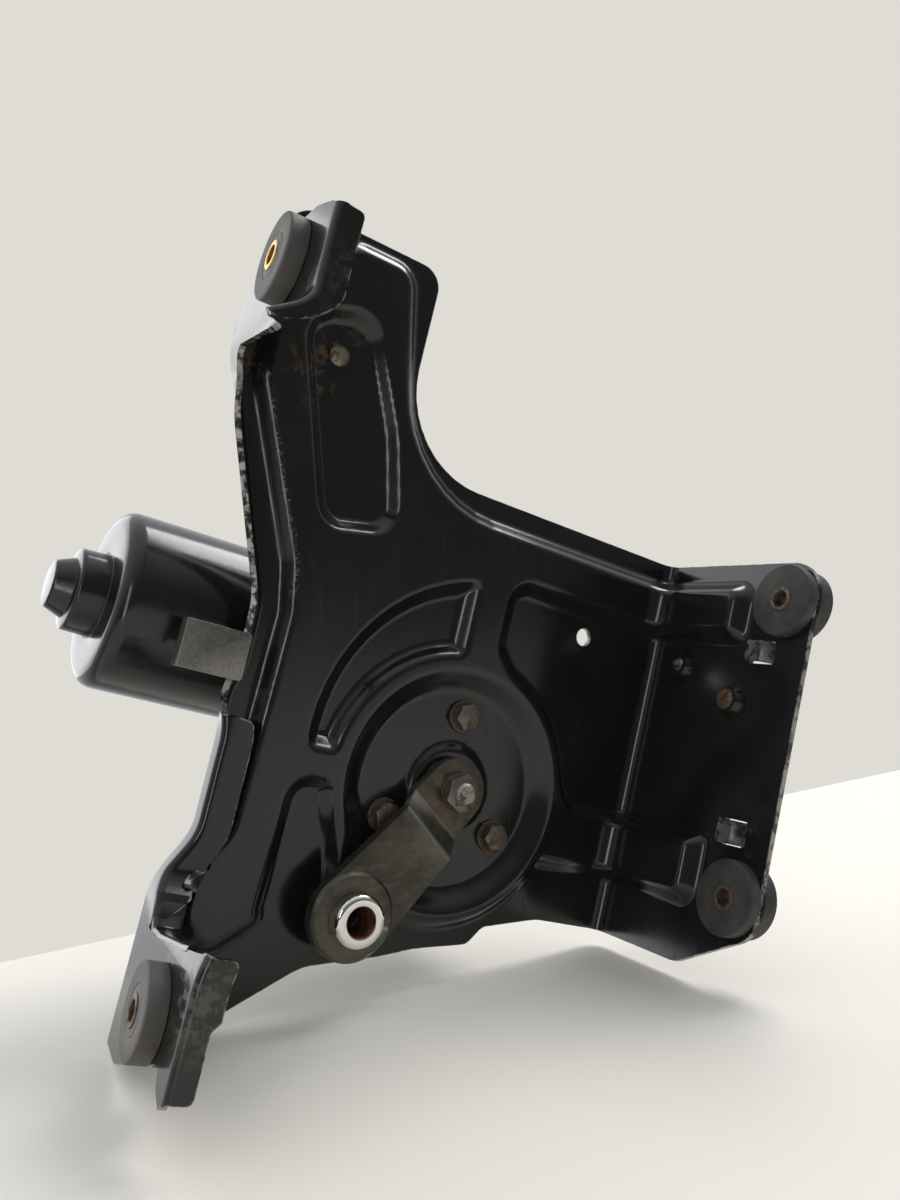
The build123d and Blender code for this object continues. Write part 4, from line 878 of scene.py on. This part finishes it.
def repeated(name, piece_mesh, places, material, size=1.0, uneven=0.0, seed=1, turns=None):
    """One mesh of a piece set at several places of the bracket's frame, with its finish."""
    sample = new_object(name + "_sample", piece_mesh)
    points = new_mesh(name + "_places", places, [])
    attribute = points.attributes.new("turn", "FLOAT_VECTOR", "POINT")
    angles = np.zeros((len(places), 3)) if turns is None else np.array(turns, float)
    attribute.data.foreach_set("vector", angles.ravel().astype(np.float32))
    carrier = new_object(name + "_carrier", points)
    modifier = carrier.modifiers.new("repeat", "NODES")
    modifier.node_group = REPEAT
    sockets = {item.name: item.identifier for item in REPEAT.interface.items_tree if item.in_out == "INPUT"}
    for key, value in (("Piece", sample), ("Size", size), ("Uneven Turn", uneven), ("Seed", seed),
                       ("Material", material)):
        modifier[sockets[key]] = value
    bpy.context.view_layer.update()
    graph = bpy.context.evaluated_depsgraph_get()
    mesh = bpy.data.meshes.new_from_object(carrier.evaluated_get(graph))
    mesh.name = name
    mesh.transform(STAND)
    bpy.data.objects.remove(carrier)
    bpy.data.objects.remove(sample)
    return sharpen(new_object(name, mesh))


# Finishes

class Finish:
    """A material whose nodes all come from one method."""

    def __init__(self, name, color, roughness, metallic=0.0, **constants):
        self.material = bpy.data.materials.new(name)
        self.material.use_nodes = True
        self.material.node_tree.nodes.clear()
        self.shader = self.add("BsdfPrincipled", {}, {
            "Base Color": (*color, 1), "Roughness": roughness, "Metallic": metallic, **constants})
        self.add("OutputMaterial", {}, {"Surface": self.shader.outputs[0]})
        self.place = self.add("TexCoord", {}, {}).outputs["Object"]

    def add(self, kind, settings, sockets):
        return add_node(self.material.node_tree, "ShaderNode" + kind, settings, sockets)

    def noise(self, scale, detail, roughness=0.5, stretch=(1, 1, 1), seed=0.0):
        place = self.add("Mapping", {}, {
            "Vector": self.place, "Scale": stretch, "Location": (seed, seed, seed)})
        node = self.add("TexNoise", {}, {"Vector": place.outputs[0], "Scale": scale, "Detail": detail,
                                         "Roughness": roughness})
        return Number(self, node.outputs[0])

    def near(self, point, radius):
        """1 at a point of the bracket's frame, fading to 0 at a radius in millimetres."""
        node = self.add("VectorMath", {"operation": "DISTANCE"}, {
            0: self.place, 1: tuple(STAND @ Vector(point))})
        return Number(self, node.outputs["Value"]).band(radius * MM, 0)

    def spots(self, places):
        """Sum of spots given as (point, radius)."""
        return sum(self.near(point, radius) for point, radius in places)

    def attribute(self, name):
        return Number(self, self.add("Attribute", {"attribute_name": name}, {}).outputs["Fac"])

    def worn(self):
        """Mask of outer edges, from how the surface curves."""
        return Number(self, self.add("NewGeometry", {}, {}).outputs["Pointiness"])

    def mix(self, share, first, second):
        """Colour between two colours or colour sockets."""
        first, second = ((*color, 1) if isinstance(color, tuple) else color for color in (first, second))
        return self.add("Mix", {"data_type": "RGBA"}, {0: share, 6: first, 7: second}).outputs[2]

    def feed(self, name, value):
        if isinstance(value, Number):
            value = value.socket
        self.material.node_tree.links.new(value, self.shader.inputs[name])

    def bump(self, height, strength, distance):
        node = self.add("Bump", {}, {"Height": height, "Strength": strength, "Distance": distance})
        self.feed("Normal", node.outputs[0])


RUST = (0.13, 0.062, 0.028)
DARK_RUST = (0.05, 0.028, 0.017)
BARE_STEEL = (0.42, 0.40, 0.37)

# Where the pressing and the rubber are worn or rusty, and where painted light lightens the left mounts' rubber, as
# (place in the bracket's frame, radius)
CHIPPED_RIM = ((97, -84, 60), 110)
SCRAPED = [((-118, -84, 148), 28), ((-120, -84, -70), 24)]
RUSTY = [((-104, 6, 148), 22), ((-94, 3, 164), 16), ((-131, 4, 138), 14)]
RUSTY_EAR = ((-119, -50, -72), 24)
RUSTY_LEG = ((93, -70, 10), 14)
# Painted light: spots that lighten the left mounts' rubber faces, as if more light fell on them from the left
PAINTED_LIGHT_RUBBER = [((UPPER_EDGE - 9, UPPER_LEFT[0] + 8, UPPER_LEFT[1]), 26),
                ((LOWER_EDGE - 12, LOWER_LEFT[0] + 8, LOWER_LEFT[1]), 26)]
RUSTY_RUBBER = [((UPPER_EDGE - 5, UPPER_LEFT[0] + 12, UPPER_LEFT[1] + 12), 20),
                ((LOWER_EDGE - 6, LOWER_LEFT[0] - 4, LOWER_LEFT[1] - 8), 18)]


def shade(color, share):
    return tuple(share * value for value in color)


def gloss_black(name, pressed=False, worn_edges=False):
    """Gloss black paint with dust and fine scratches; the pressing is bare where it was cut and rubbed."""
    finish = Finish(name, (0.011, 0.012, 0.0125), 0.17)
    cloud = finish.noise(28, 4, 0.6)
    grit = finish.noise(1700, 2, 0.6, seed=3)
    scratch = finish.noise(420, 2, 0.5, stretch=(1, 1, 0.06), seed=7)
    dust = cloud.band(0.45, 0.75) * 0.5 + grit.band(0.62, 0.78) * 0.5
    base = finish.mix(dust * 0.3, (0.0085, 0.0098, 0.0090), (0.028, 0.031, 0.029))
    rough = 0.14 + cloud.band(0.35, 0.8) * 0.09 + scratch.band(0.6, 0.75) * 0.08
    chipped = finish.noise(260, 3, 0.6, seed=11)
    if worn_edges:
        worn = finish.worn().band(0.53, 0.60) * chipped.band(0.38, 0.56)
        base = finish.mix(worn * 0.6, base, BARE_STEEL)
        rough = rough + worn * 0.25
    if pressed:
        line = finish.attribute("edge_distance").band(0.45, 0.05) * chipped.band(0.42, 0.60) * 0.75
        chips = finish.near(*CHIPPED_RIM).larger(0.1) * chipped.band(0.54, 0.70)
        bare = line.larger(finish.attribute("cut_face") * chips)
        ridge = finish.attribute("ridge_wear") * finish.noise(900, 3, 0.6, seed=12).band(0.50, 0.66) * 0.55
        scraped = finish.spots(SCRAPED) * chipped.band(0.44, 0.6)
        spots = finish.spots(RUSTY) + finish.near(*RUSTY_EAR) * 0.8 + finish.near(*RUSTY_LEG) * 0.7
        rust = spots * finish.noise(170, 4, 0.65, seed=5).band(0.50, 0.64) * 0.6
        base = finish.mix(scraped * 0.55, base, (0.13, 0.115, 0.095))
        base = finish.mix(ridge, base, (0.30, 0.285, 0.25))
        base = finish.mix(rust, base, RUST)
        base = finish.mix(bare, base, BARE_STEEL)
        rough = rough + bare * 0.25 + rust * 0.45 + ridge * 0.2 + scraped * 0.2
        finish.feed("Metallic", bare * 0.8)
    finish.feed("Base Color", base)
    finish.feed("Roughness", rough)
    finish.bump(finish.noise(320, 2, 0.5, seed=2) + grit * 0.25, 0.03, 0.0004)
    return finish.material


def rubber():
    """Matt black rubber, a little uneven, with painted light that lightens the left mounts' faces."""
    finish = Finish("rubber", (0.05, 0.052, 0.055), 0.62, **{"Specular IOR Level": 0.35})
    cloud = finish.noise(60, 4, 0.65)
    grain = finish.noise(900, 3, 0.6, seed=4)
    base = finish.mix(cloud.band(0.35, 0.7), (0.030, 0.030, 0.029), (0.068, 0.067, 0.064))
    base = finish.mix(grain.band(0.6, 0.8) * 0.4, base, (0.12, 0.115, 0.105))
    # Painted light: the left mounts' faces are painted lighter where more light falls from the left
    base = finish.mix(finish.spots(PAINTED_LIGHT_RUBBER) * 0.9, base, (0.19, 0.187, 0.172))
    rust = finish.spots(RUSTY_RUBBER) * finish.noise(120, 3, seed=8).band(0.5, 0.65)
    base = finish.mix(rust * 0.7, base, (0.16, 0.09, 0.045))
    finish.feed("Base Color", base)
    finish.feed("Roughness", 0.52 + cloud * 0.2)
    finish.bump(grain, 0.12, 0.0002)
    return finish.material


def rusty(name, metal_color, rust_share, roughness=0.45):
    """Plated or bare steel that has gone brown in patches."""
    finish = Finish(name, metal_color, roughness, 0.85)
    patches = finish.noise(210, 4, 0.7)
    fine = finish.noise(900, 3, 0.6, seed=6)
    share = patches.band(0.62 - 0.4 * rust_share, 0.74 - 0.3 * rust_share)
    rust_color = finish.mix(fine.band(0.35, 0.65), DARK_RUST, RUST)
    steel = finish.mix(fine.band(0.3, 0.7), shade(metal_color, 0.75), metal_color)
    finish.feed("Base Color", finish.mix(share, steel, rust_color))
    finish.feed("Metallic", 0.9 - share * 0.85)
    finish.feed("Roughness", roughness - 0.05 + share * 0.4 + fine * 0.1)
    finish.bump(patches + fine * 0.5, 0.25, 0.0003)
    return finish.material


def crank_steel():
    """Satin forged steel with scuffs, light edges and a brown bloom round the nut."""
    finish = Finish("crank_steel", (0.2, 0.19, 0.17), 0.42, 0.75)
    brushed = finish.noise(350, 3, 0.6, stretch=(0.35, 1, 1))
    cloud = finish.noise(45, 4, 0.6, seed=2)
    edges = finish.worn().band(0.52, 0.60)
    base = finish.mix(cloud.band(0.35, 0.7), (0.060, 0.056, 0.042), (0.115, 0.108, 0.085))
    base = finish.mix(brushed.band(0.45, 0.75) * 0.35, base, (0.19, 0.18, 0.155))
    bloom = finish.near((0, CRANK_FRONT, SHAFT_Z - 4), 22) * finish.noise(130, 4, 0.7, seed=9).band(0.42, 0.6)
    base = finish.mix(bloom * 0.85, base, (0.17, 0.10, 0.05))
    base = finish.mix(edges * 0.55, base, (0.48, 0.46, 0.42))
    finish.feed("Base Color", base)
    finish.feed("Metallic", 0.8 - bloom * 0.6)
    finish.feed("Roughness", 0.36 + cloud * 0.14 + bloom * 0.25)
    finish.bump(brushed, 0.06, 0.0002)
    return finish.material


def axis_distance(finish, centre):
    """Distance of a point to the axis along Y through a place of the shared frame."""
    offset = finish.add("VectorMath", {"operation": "SUBTRACT"}, {0: finish.place, 1: tuple(centre)})
    level = finish.add("VectorMath", {"operation": "MULTIPLY"}, {0: offset.outputs[0], 1: (1, 0, 1)})
    length = finish.add("VectorMath", {"operation": "LENGTH"}, {0: level.outputs[0]})
    return Number(finish, length.outputs["Value"])


def chrome():
    """Bright plating with a few dull specks and a rusty bore."""
    finish = Finish("chrome", (0.75, 0.73, 0.70), 0.1, 1.0)
    specks = finish.noise(330, 4, 0.7).band(0.64, 0.74)
    bore = axis_distance(finish, STAND @ Vector(EYE_CENTRE))
    inside = bore.band((BUSH_BORE + 0.5) * MM, (BUSH_BORE + 0.25) * MM)
    stain = finish.noise(260, 3, 0.6, seed=5)
    brown = finish.mix(stain.band(0.35, 0.65), (0.07, 0.025, 0.012), (0.20, 0.075, 0.03))
    base = finish.mix(specks * 0.8, (0.78, 0.76, 0.73), (0.2, 0.17, 0.14))
    finish.feed("Base Color", finish.mix(inside, base, brown))
    finish.feed("Metallic", 1 - inside * 0.8)
    finish.feed("Roughness", 0.09 + specks * 0.3 + inside * 0.5)
    return finish.material


def cast_metal():
    """Die-cast alloy with a matt, slightly mottled skin."""
    finish = Finish("cast_alloy", (0.42, 0.42, 0.41), 0.5, 0.85)
    mottle = finish.noise(140, 4, 0.65)
    grain = finish.noise(1100, 2, 0.6, seed=3)
    base = finish.mix(mottle.band(0.35, 0.7), (0.30, 0.30, 0.29), (0.48, 0.48, 0.465))
    stain = finish.noise(24, 4, 0.6, seed=8).band(0.55, 0.75)
    finish.feed("Base Color", finish.mix(stain * 0.5, base, (0.16, 0.145, 0.125)))
    finish.feed("Metallic", 0.85 - stain * 0.3)
    finish.feed("Roughness", 0.42 + mottle * 0.25)
    finish.bump(grain + mottle * 0.5, 0.18, 0.0003)
    return finish.material


def moulded(name, color, roughness=0.45):
    """Moulded plastic with a fine grain."""
    finish = Finish(name, color, roughness)
    grain = finish.noise(800, 2, 0.6)
    cloud = finish.noise(60, 3, 0.6, seed=2)
    finish.feed("Base Color", finish.mix(cloud.band(0.3, 0.7), shade(color, 0.8), color))
    finish.feed("Roughness", roughness + cloud * 0.12)
    finish.bump(grain, 0.1, 0.0002)
    return finish.material


def metal(name, color, roughness=0.3):
    """Plain machined or rolled metal with faint brushing."""
    finish = Finish(name, color, roughness, 1.0)
    brushed = finish.noise(500, 3, 0.6, stretch=(1, 1, 0.2))
    finish.feed("Base Color", finish.mix(brushed.band(0.3, 0.7), shade(color, 0.82), color))
    finish.feed("Roughness", roughness - 0.05 + brushed * 0.2)
    finish.bump(brushed, 0.05, 0.0002)
    return finish.material


PAINT = gloss_black("gloss_black_paint")
EDGED_PAINT = gloss_black("gloss_black_sheet", pressed=True)
WORN_PAINT = gloss_black("gloss_black_worn", worn_edges=True)
RUBBER = rubber()
CRANK = crank_steel()
CHROME = chrome()
CAST = cast_metal()
BOLT = rusty("bolt_steel", (0.20, 0.18, 0.155), 0.35)
WASHER = rusty("rusty_washer", (0.13, 0.11, 0.09), 0.5)
LUG = rusty("lug_steel", (0.23, 0.225, 0.205), 0.06, 0.36)
ZINC = rusty("zinc_plate", (0.30, 0.28, 0.20), 0.25, 0.38)
SHAFT = rusty("shaft_steel", (0.40, 0.37, 0.34), 0.35)
BRASS = metal("brass", (0.62, 0.43, 0.15), 0.28)
COPPER = metal("copper", (0.7, 0.32, 0.17), 0.35)
BRONZE = metal("sintered_bronze", (0.45, 0.31, 0.15), 0.5)
STEEL = metal("laminated_steel", (0.36, 0.36, 0.37), 0.4)
SOCKET = moulded("socket_plastic", (0.03, 0.03, 0.032))
ACETAL = moulded("wheel_plastic", (0.75, 0.72, 0.62), 0.35)
BOARD = moulded("laminated_board", (0.30, 0.16, 0.06), 0.5)
CARBON = moulded("carbon", (0.03, 0.03, 0.03), 0.6)
FERRITE = moulded("ferrite", (0.06, 0.06, 0.065), 0.55)
SLEEVE = rusty("sleeve_steel", (0.17, 0.14, 0.11), 0.45)

SLOT_FINISH = {
    "black_gloss": PAINT, "bolt_steel": BOLT, "rusty_steel": WASHER, "zinc": ZINC, "lug_steel": LUG,
    "cast": CAST, "cover_black": PAINT, "gasket": RUBBER, "socket_plastic": SOCKET, "wheel_plastic": ACETAL,
    "board": BOARD, "brass": BRASS, "sintered": BRONZE, "magnet": FERRITE, "carbon": CARBON, "copper": COPPER,
    "core_steel": STEEL, "rubber": RUBBER, "sleeve_steel": SLEEVE, "sleeve_brass": BRASS,
    "crank_steel": CRANK, "chrome": CHROME, "shaft_steel": SHAFT,
}
node_slot = {part["node"]: part["material_slot"] for part in frame["record"]["subparts"]}


def paint(piece, material):
    piece.data.materials.clear()
    piece.data.materials.append(material)


def dress(piece, material, slot, body, *nodes):
    """Gives a piece its finish and lets it ride on its body in place of CAD nodes. The slot is not used."""
    if material is not None:
        paint(piece, material)
    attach(piece, body)
    if nodes:
        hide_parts(*nodes)


for node, node_object in frame["nodes"].items():
    paint(node_object, SLOT_FINISH[node_slot[node]])

# Bracket

dress(pressed_sheet(), EDGED_PAINT, "black_gloss", "root", "bracket_plate", "bracket_leg", "upper_ear",
      "lower_ear")
dress(lanced_tabs(), WORN_PAINT, "black_gloss", "root")
dress(ear_lip(), PAINT, "black_gloss", "root")

# Motor can, with its rounded shoulder, stepped boss and tapered nub

CAN_SECTION = [
    (CAN_OPEN, CAN_RADIUS - CAN_WALL, 0), (CAN_OPEN, CAN_RADIUS, 0.4), (CAN_END, CAN_RADIUS, 6.5),
    (CAN_END, BOSS_RADIUS + 1.2, 0.6), (CAN_END + 0.7, BOSS_RADIUS + 0.6, 0.4), (CAN_END, BOSS_RADIUS, 0.5),
    (BOSS_END + 0.6, BOSS_RADIUS - 0.3, 1.8), (BOSS_END, NUB_RADIUS + 0.6, 0.5), (BOSS_END, NUB_RADIUS, 0.6),
    (NUB_END, NUB_TIP_RADIUS, 1.6), (NUB_END, 0, 0), (NUB_END + CAN_WALL, 0, 0),
    (BOSS_END + 2, NUB_RADIUS - 2, 1), (CAN_END + CAN_WALL, BOSS_RADIUS - 2, 1),
    (CAN_END + CAN_WALL, CAN_RADIUS - 8, 4)]
can = turned("deep_drawn_can", CAN_SECTION, (0, MOTOR_Y, MOTOR_Z), segments=128)
dress(can, PAINT, "black_gloss", "root", "motor_can")

# Rubber mounts and their sleeves. A mount's thick flange is outside its sheet, towards -X, its neck is in
# the sheet from 0 to SHEET, and its thin flange is inside. A low round bead runs about the sleeve's end.

THICK_END, THIN_END = -GROMMET_THICK, SHEET + GROMMET_THIN
GROMMET_SECTION = [
    (THICK_END, SLEEVE_OUTER, 0), (THICK_END, SLEEVE_OUTER + 2.2, 0.3),
    (THICK_END + 0.35, SLEEVE_OUTER + 2.8, 0.3), (THICK_END, SLEEVE_OUTER + 3.4, 0.3),
    (THICK_END, GROMMET_RADIUS, 0.9), (0, GROMMET_RADIUS, 0.4),
    (0, GROMMET_NECK, 0.2), (SHEET, GROMMET_NECK, 0.2), (SHEET, GROMMET_RADIUS, 0.4),
    (THIN_END, GROMMET_RADIUS, 0.9), (THIN_END, SLEEVE_OUTER, 0)]
SLEEVE_LOW, SLEEVE_HIGH = THICK_END - SLEEVE_PROUD, THIN_END + SLEEVE_PROUD
SLEEVE_SECTION = [
    (SLEEVE_LOW, SLEEVE_BORE, 0.25), (SLEEVE_LOW, SLEEVE_OUTER, 0.4), (SLEEVE_HIGH, SLEEVE_OUTER, 0.4),
    (SLEEVE_HIGH, SLEEVE_BORE, 0.25)]


def ear_place(edge, lean, centre):
    """Place in the bracket's frame of a mount's centre on an ear's outer face."""
    lean = math.radians(lean)
    return edge + math.sin(lean) * centre[0], DROP + SHEET + math.cos(lean) * centre[0], centre[1]


MOUNT_NAMES = ("upper_left", "lower_left", "upper_right", "lower_right")
MOUNT_PLACES = [
    ear_place(UPPER_EDGE, UPPER_FLARE, UPPER_LEFT), ear_place(LOWER_EDGE, LOWER_FLARE, LOWER_LEFT),
    (LEG_FACE + SHEET, *UPPER_RIGHT), (LEG_FACE + SHEET, *LOWER_RIGHT)]
MOUNT_TURNS = [(0, 0, -math.radians(UPPER_FLARE)), (0.8, 0, -math.radians(LOWER_FLARE)),
               (0, 0, math.pi), (2.1, 0, math.pi)]


def mounted(name, kind, section, segments, material, slot, chosen):
    """Turned pieces in the bracket's mounts, in place of the CAD nodes of their kind."""
    mesh = taken_mesh(turned(kind, section, segments=segments))
    piece = repeated(name, mesh, MOUNT_PLACES[chosen], material, turns=MOUNT_TURNS[chosen])
    dress(piece, None, slot, "root", *[f"{kind}_{place}" for place in MOUNT_NAMES[chosen]])


mounted("rubber_mounts", "grommet", GROMMET_SECTION, 80, RUBBER, "rubber", slice(None))
mounted("steel_sleeves", "sleeve", SLEEVE_SECTION, 64, SLEEVE, "sleeve_steel", slice(1, None))
mounted("brass_sleeve", "sleeve", SLEEVE_SECTION, 64, BRASS, "sleeve_brass", slice(0, 1))

# Gearbox bolts on their washers

bolt_turns = [math.radians(angle) for angle in (90, 210, 330)]
bolt_axes = [(BOLT_CIRCLE * math.cos(turn), SHAFT_Z + BOLT_CIRCLE * math.sin(turn)) for turn in bolt_turns]
bolt_places = [(x, DROP - WASHER_THICK, z) for x, z in bolt_axes]
hex_bolts = repeated("hex_bolts", bolt_mesh(), bolt_places, BOLT, uneven=0.5, seed=4)
dress(hex_bolts, None, "bolt_steel", "root", "gearbox_bolts")
washer = taken_mesh(turned("washer", [
    (0, WASHER_BORE, 0), (0, WASHER_RADIUS, 0.3), (-WASHER_THICK, WASHER_RADIUS, 0.4),
    (-WASHER_THICK, WASHER_BORE, 0)], axis="Y", segments=64))
round_washers = repeated("round_washers", washer, [(x, DROP, z) for x, z in bolt_axes], WASHER)
dress(round_washers, None, "rusty_steel", "root", "gearbox_washers")

# Crank with its bush, nut and spring washer

dress(refined("crank_arm", "forged_crank", 0.45), CRANK, "crank_steel", "crank", "crank_arm")

bush_base = EYE_FRONT - EYE_BOSS
bush_nose, bush_end = bush_base - BUSH_HEIGHT, EYE_FRONT + CRANK_THICK + BUSH_BACK
bush = turned("chrome_bush", [
    (bush_nose, BUSH_BORE, 0.9), (bush_nose, BUSH_RADIUS, 3.6), (bush_base, BUSH_RADIUS, 0.4),
    (bush_base, EYE_BORE, 0), (bush_end, EYE_BORE, 0.3), (bush_end, BUSH_BORE, 0.3)], EYE_CENTRE, axis="Y")
dress(bush, CHROME, "chrome", "crank", "crank_bush")

nut_points, nut_faces = hex_head(NUT_HEX, NUT_HEIGHT, NUT_HEX / 2 - NUT_CHAMFER)
nut = sharpen(mesh_object("hex_nut", np.array(nut_points) + np.array((0, NUT_BACK, SHAFT_Z)), nut_faces))
dress(nut, BOLT, "bolt_steel", "crank", "crank_nut")
nut_washer = turned("nut_washer", [
    (CRANK_FRONT, SHAFT_NOSE + 0.2, 0), (CRANK_FRONT, SPRING_WASHER_RADIUS, 0.3),
    (NUT_BACK, SPRING_WASHER_RADIUS, 0.3), (NUT_BACK, SHAFT_NOSE + 0.2, 0)], (0, 0, SHAFT_Z), axis="Y")
dress(nut_washer, WASHER, "rusty_steel", "crank", "crank_washer")

# Pieces refined from their CAD solids, as (node, name, rounding of its edges, body)

FROM_SOLIDS = [
    ("gear_housing", "cast_gearbox", 0, "root"), ("gear_cover", "pressed_cover", 0, "root"),
    ("cable_lug", "folded_lug", 0.25, "root"), ("terminal_socket", "moulded_socket", 0.2, "root"),
    ("leg_screw", "slotted_screw", 0.15, "root"), ("slot_screw", "zinc_screw", 0, "root"),
    ("leg_collars", "pressed_collars", 0, "root"), ("output_shaft", "crank_shaft", 0, "crank")]
for node, name, bevel, body in FROM_SOLIDS:
    dress(refined(node, name, bevel), SLOT_FINISH[node_slot[node]], node_slot[node], body, node)

# Stage, in metres in the shared frame. The bench's far edge is the line through two places on it.

WALL_COLOR = (0.73, 0.716, 0.665)
FLOOR_COLOR = (0.80, 0.77, 0.70)
ROOM_COLOR = (0.95, 0.97, 1.0)
ROOM_DARK = 0.13
ROOM_BRIGHT = 0.9
BRIGHT_SIDE = (0.05, 0.72, 0.69)
FLOOR_NEAR = 3.0
BENCH_EDGE = (Vector((-0.149, 0.135, 0)), Vector((0.592, 0.228, 0)))
MIDDLE = Vector((0, 0, 0.15))

far_left, far_right = (BENCH_EDGE[0].lerp(BENCH_EDGE[1], share) for share in (-4, 4))
bench_corners = [far_left, (-FLOOR_NEAR, -FLOOR_NEAR, 0), (FLOOR_NEAR, -FLOOR_NEAR, 0), far_right]
bench = new_object("bench_top", new_mesh("bench_top", bench_corners, [(0, 1, 2, 3)]))
paint(bench, Finish("pale_bench", FLOOR_COLOR, 0.6).material)

world = bpy.data.worlds.new("studio")
bpy.context.scene.world = world
world.use_nodes = True
world.node_tree.nodes.clear()


def world_node(kind, settings, sockets):
    return add_node(world.node_tree, "ShaderNode" + kind, settings, sockets)


# The room is dark on the camera's side and bright above and behind; the camera itself sees a plain wall.
direction = world_node("TexCoord", {}, {}).outputs["Generated"]
toward = world_node("VectorMath", {"operation": "DOT_PRODUCT"}, {0: direction, 1: BRIGHT_SIDE})
bright = world_node("MapRange", {"interpolation_type": "SMOOTHSTEP"}, {
    "Value": toward.outputs["Value"], "From Min": -0.45, "From Max": 0.75, "To Min": ROOM_DARK,
    "To Max": ROOM_BRIGHT})
room_light = world_node("Background", {}, {"Color": (*ROOM_COLOR, 1), "Strength": bright.outputs[0]})
wall_light = world_node("Background", {}, {"Color": (*WALL_COLOR, 1), "Strength": 1.0})
seen = world_node("LightPath", {}, {}).outputs["Is Camera Ray"]
choose = world_node("MixShader", {}, {0: seen, 1: room_light.outputs[0], 2: wall_light.outputs[0]})
world_node("OutputWorld", {}, {"Surface": choose.outputs[0]})


def soft_lamp(name, place, width, height, power):
    """Rectangular soft box that faces the middle of the motor, with its power in watts."""
    lamp = bpy.data.lights.new(name, "AREA")
    lamp.shape = "RECTANGLE"
    lamp.size, lamp.size_y = width, height
    lamp.energy = power
    holder = new_object(name, lamp)
    holder.location = place
    holder.rotation_mode = "QUATERNION"
    holder.rotation_quaternion = (MIDDLE - Vector(place)).to_track_quat("-Z", "Y")


soft_lamp("overhead", (0.75, 0.2, 1.25), 0.9, 0.6, 12)
soft_lamp("behind_left", (-0.6, 1.35, 0.45), 1.2, 1.2, 6.5)
soft_lamp("front_left", (-1.25, -1.1, 0.35), 0.28, 1.3, 5)

camera_data = bpy.data.cameras.new("camera")
camera_data.lens = SENSOR * FOCAL_PIXELS / PHOTO_HEIGHT
camera_data.sensor_width = SENSOR
camera_data.clip_start = 0.01
camera = new_object("camera", camera_data)
stand_turn = STAND.to_3x3().normalized()
right = (stand_turn @ Vector(CAMERA_RIGHT)).normalized()
up = -(stand_turn @ Vector(CAMERA_DOWN)).normalized()
backward = right.cross(up).normalized()
up = backward.cross(right)
facing = Matrix((right, up, backward)).transposed().to_4x4()
camera.matrix_world = Matrix.Translation(STAND @ Vector(CAMERA_PLACE)) @ facing
bpy.context.scene.camera = camera
bpy.context.scene.view_settings.view_transform = "Standard"
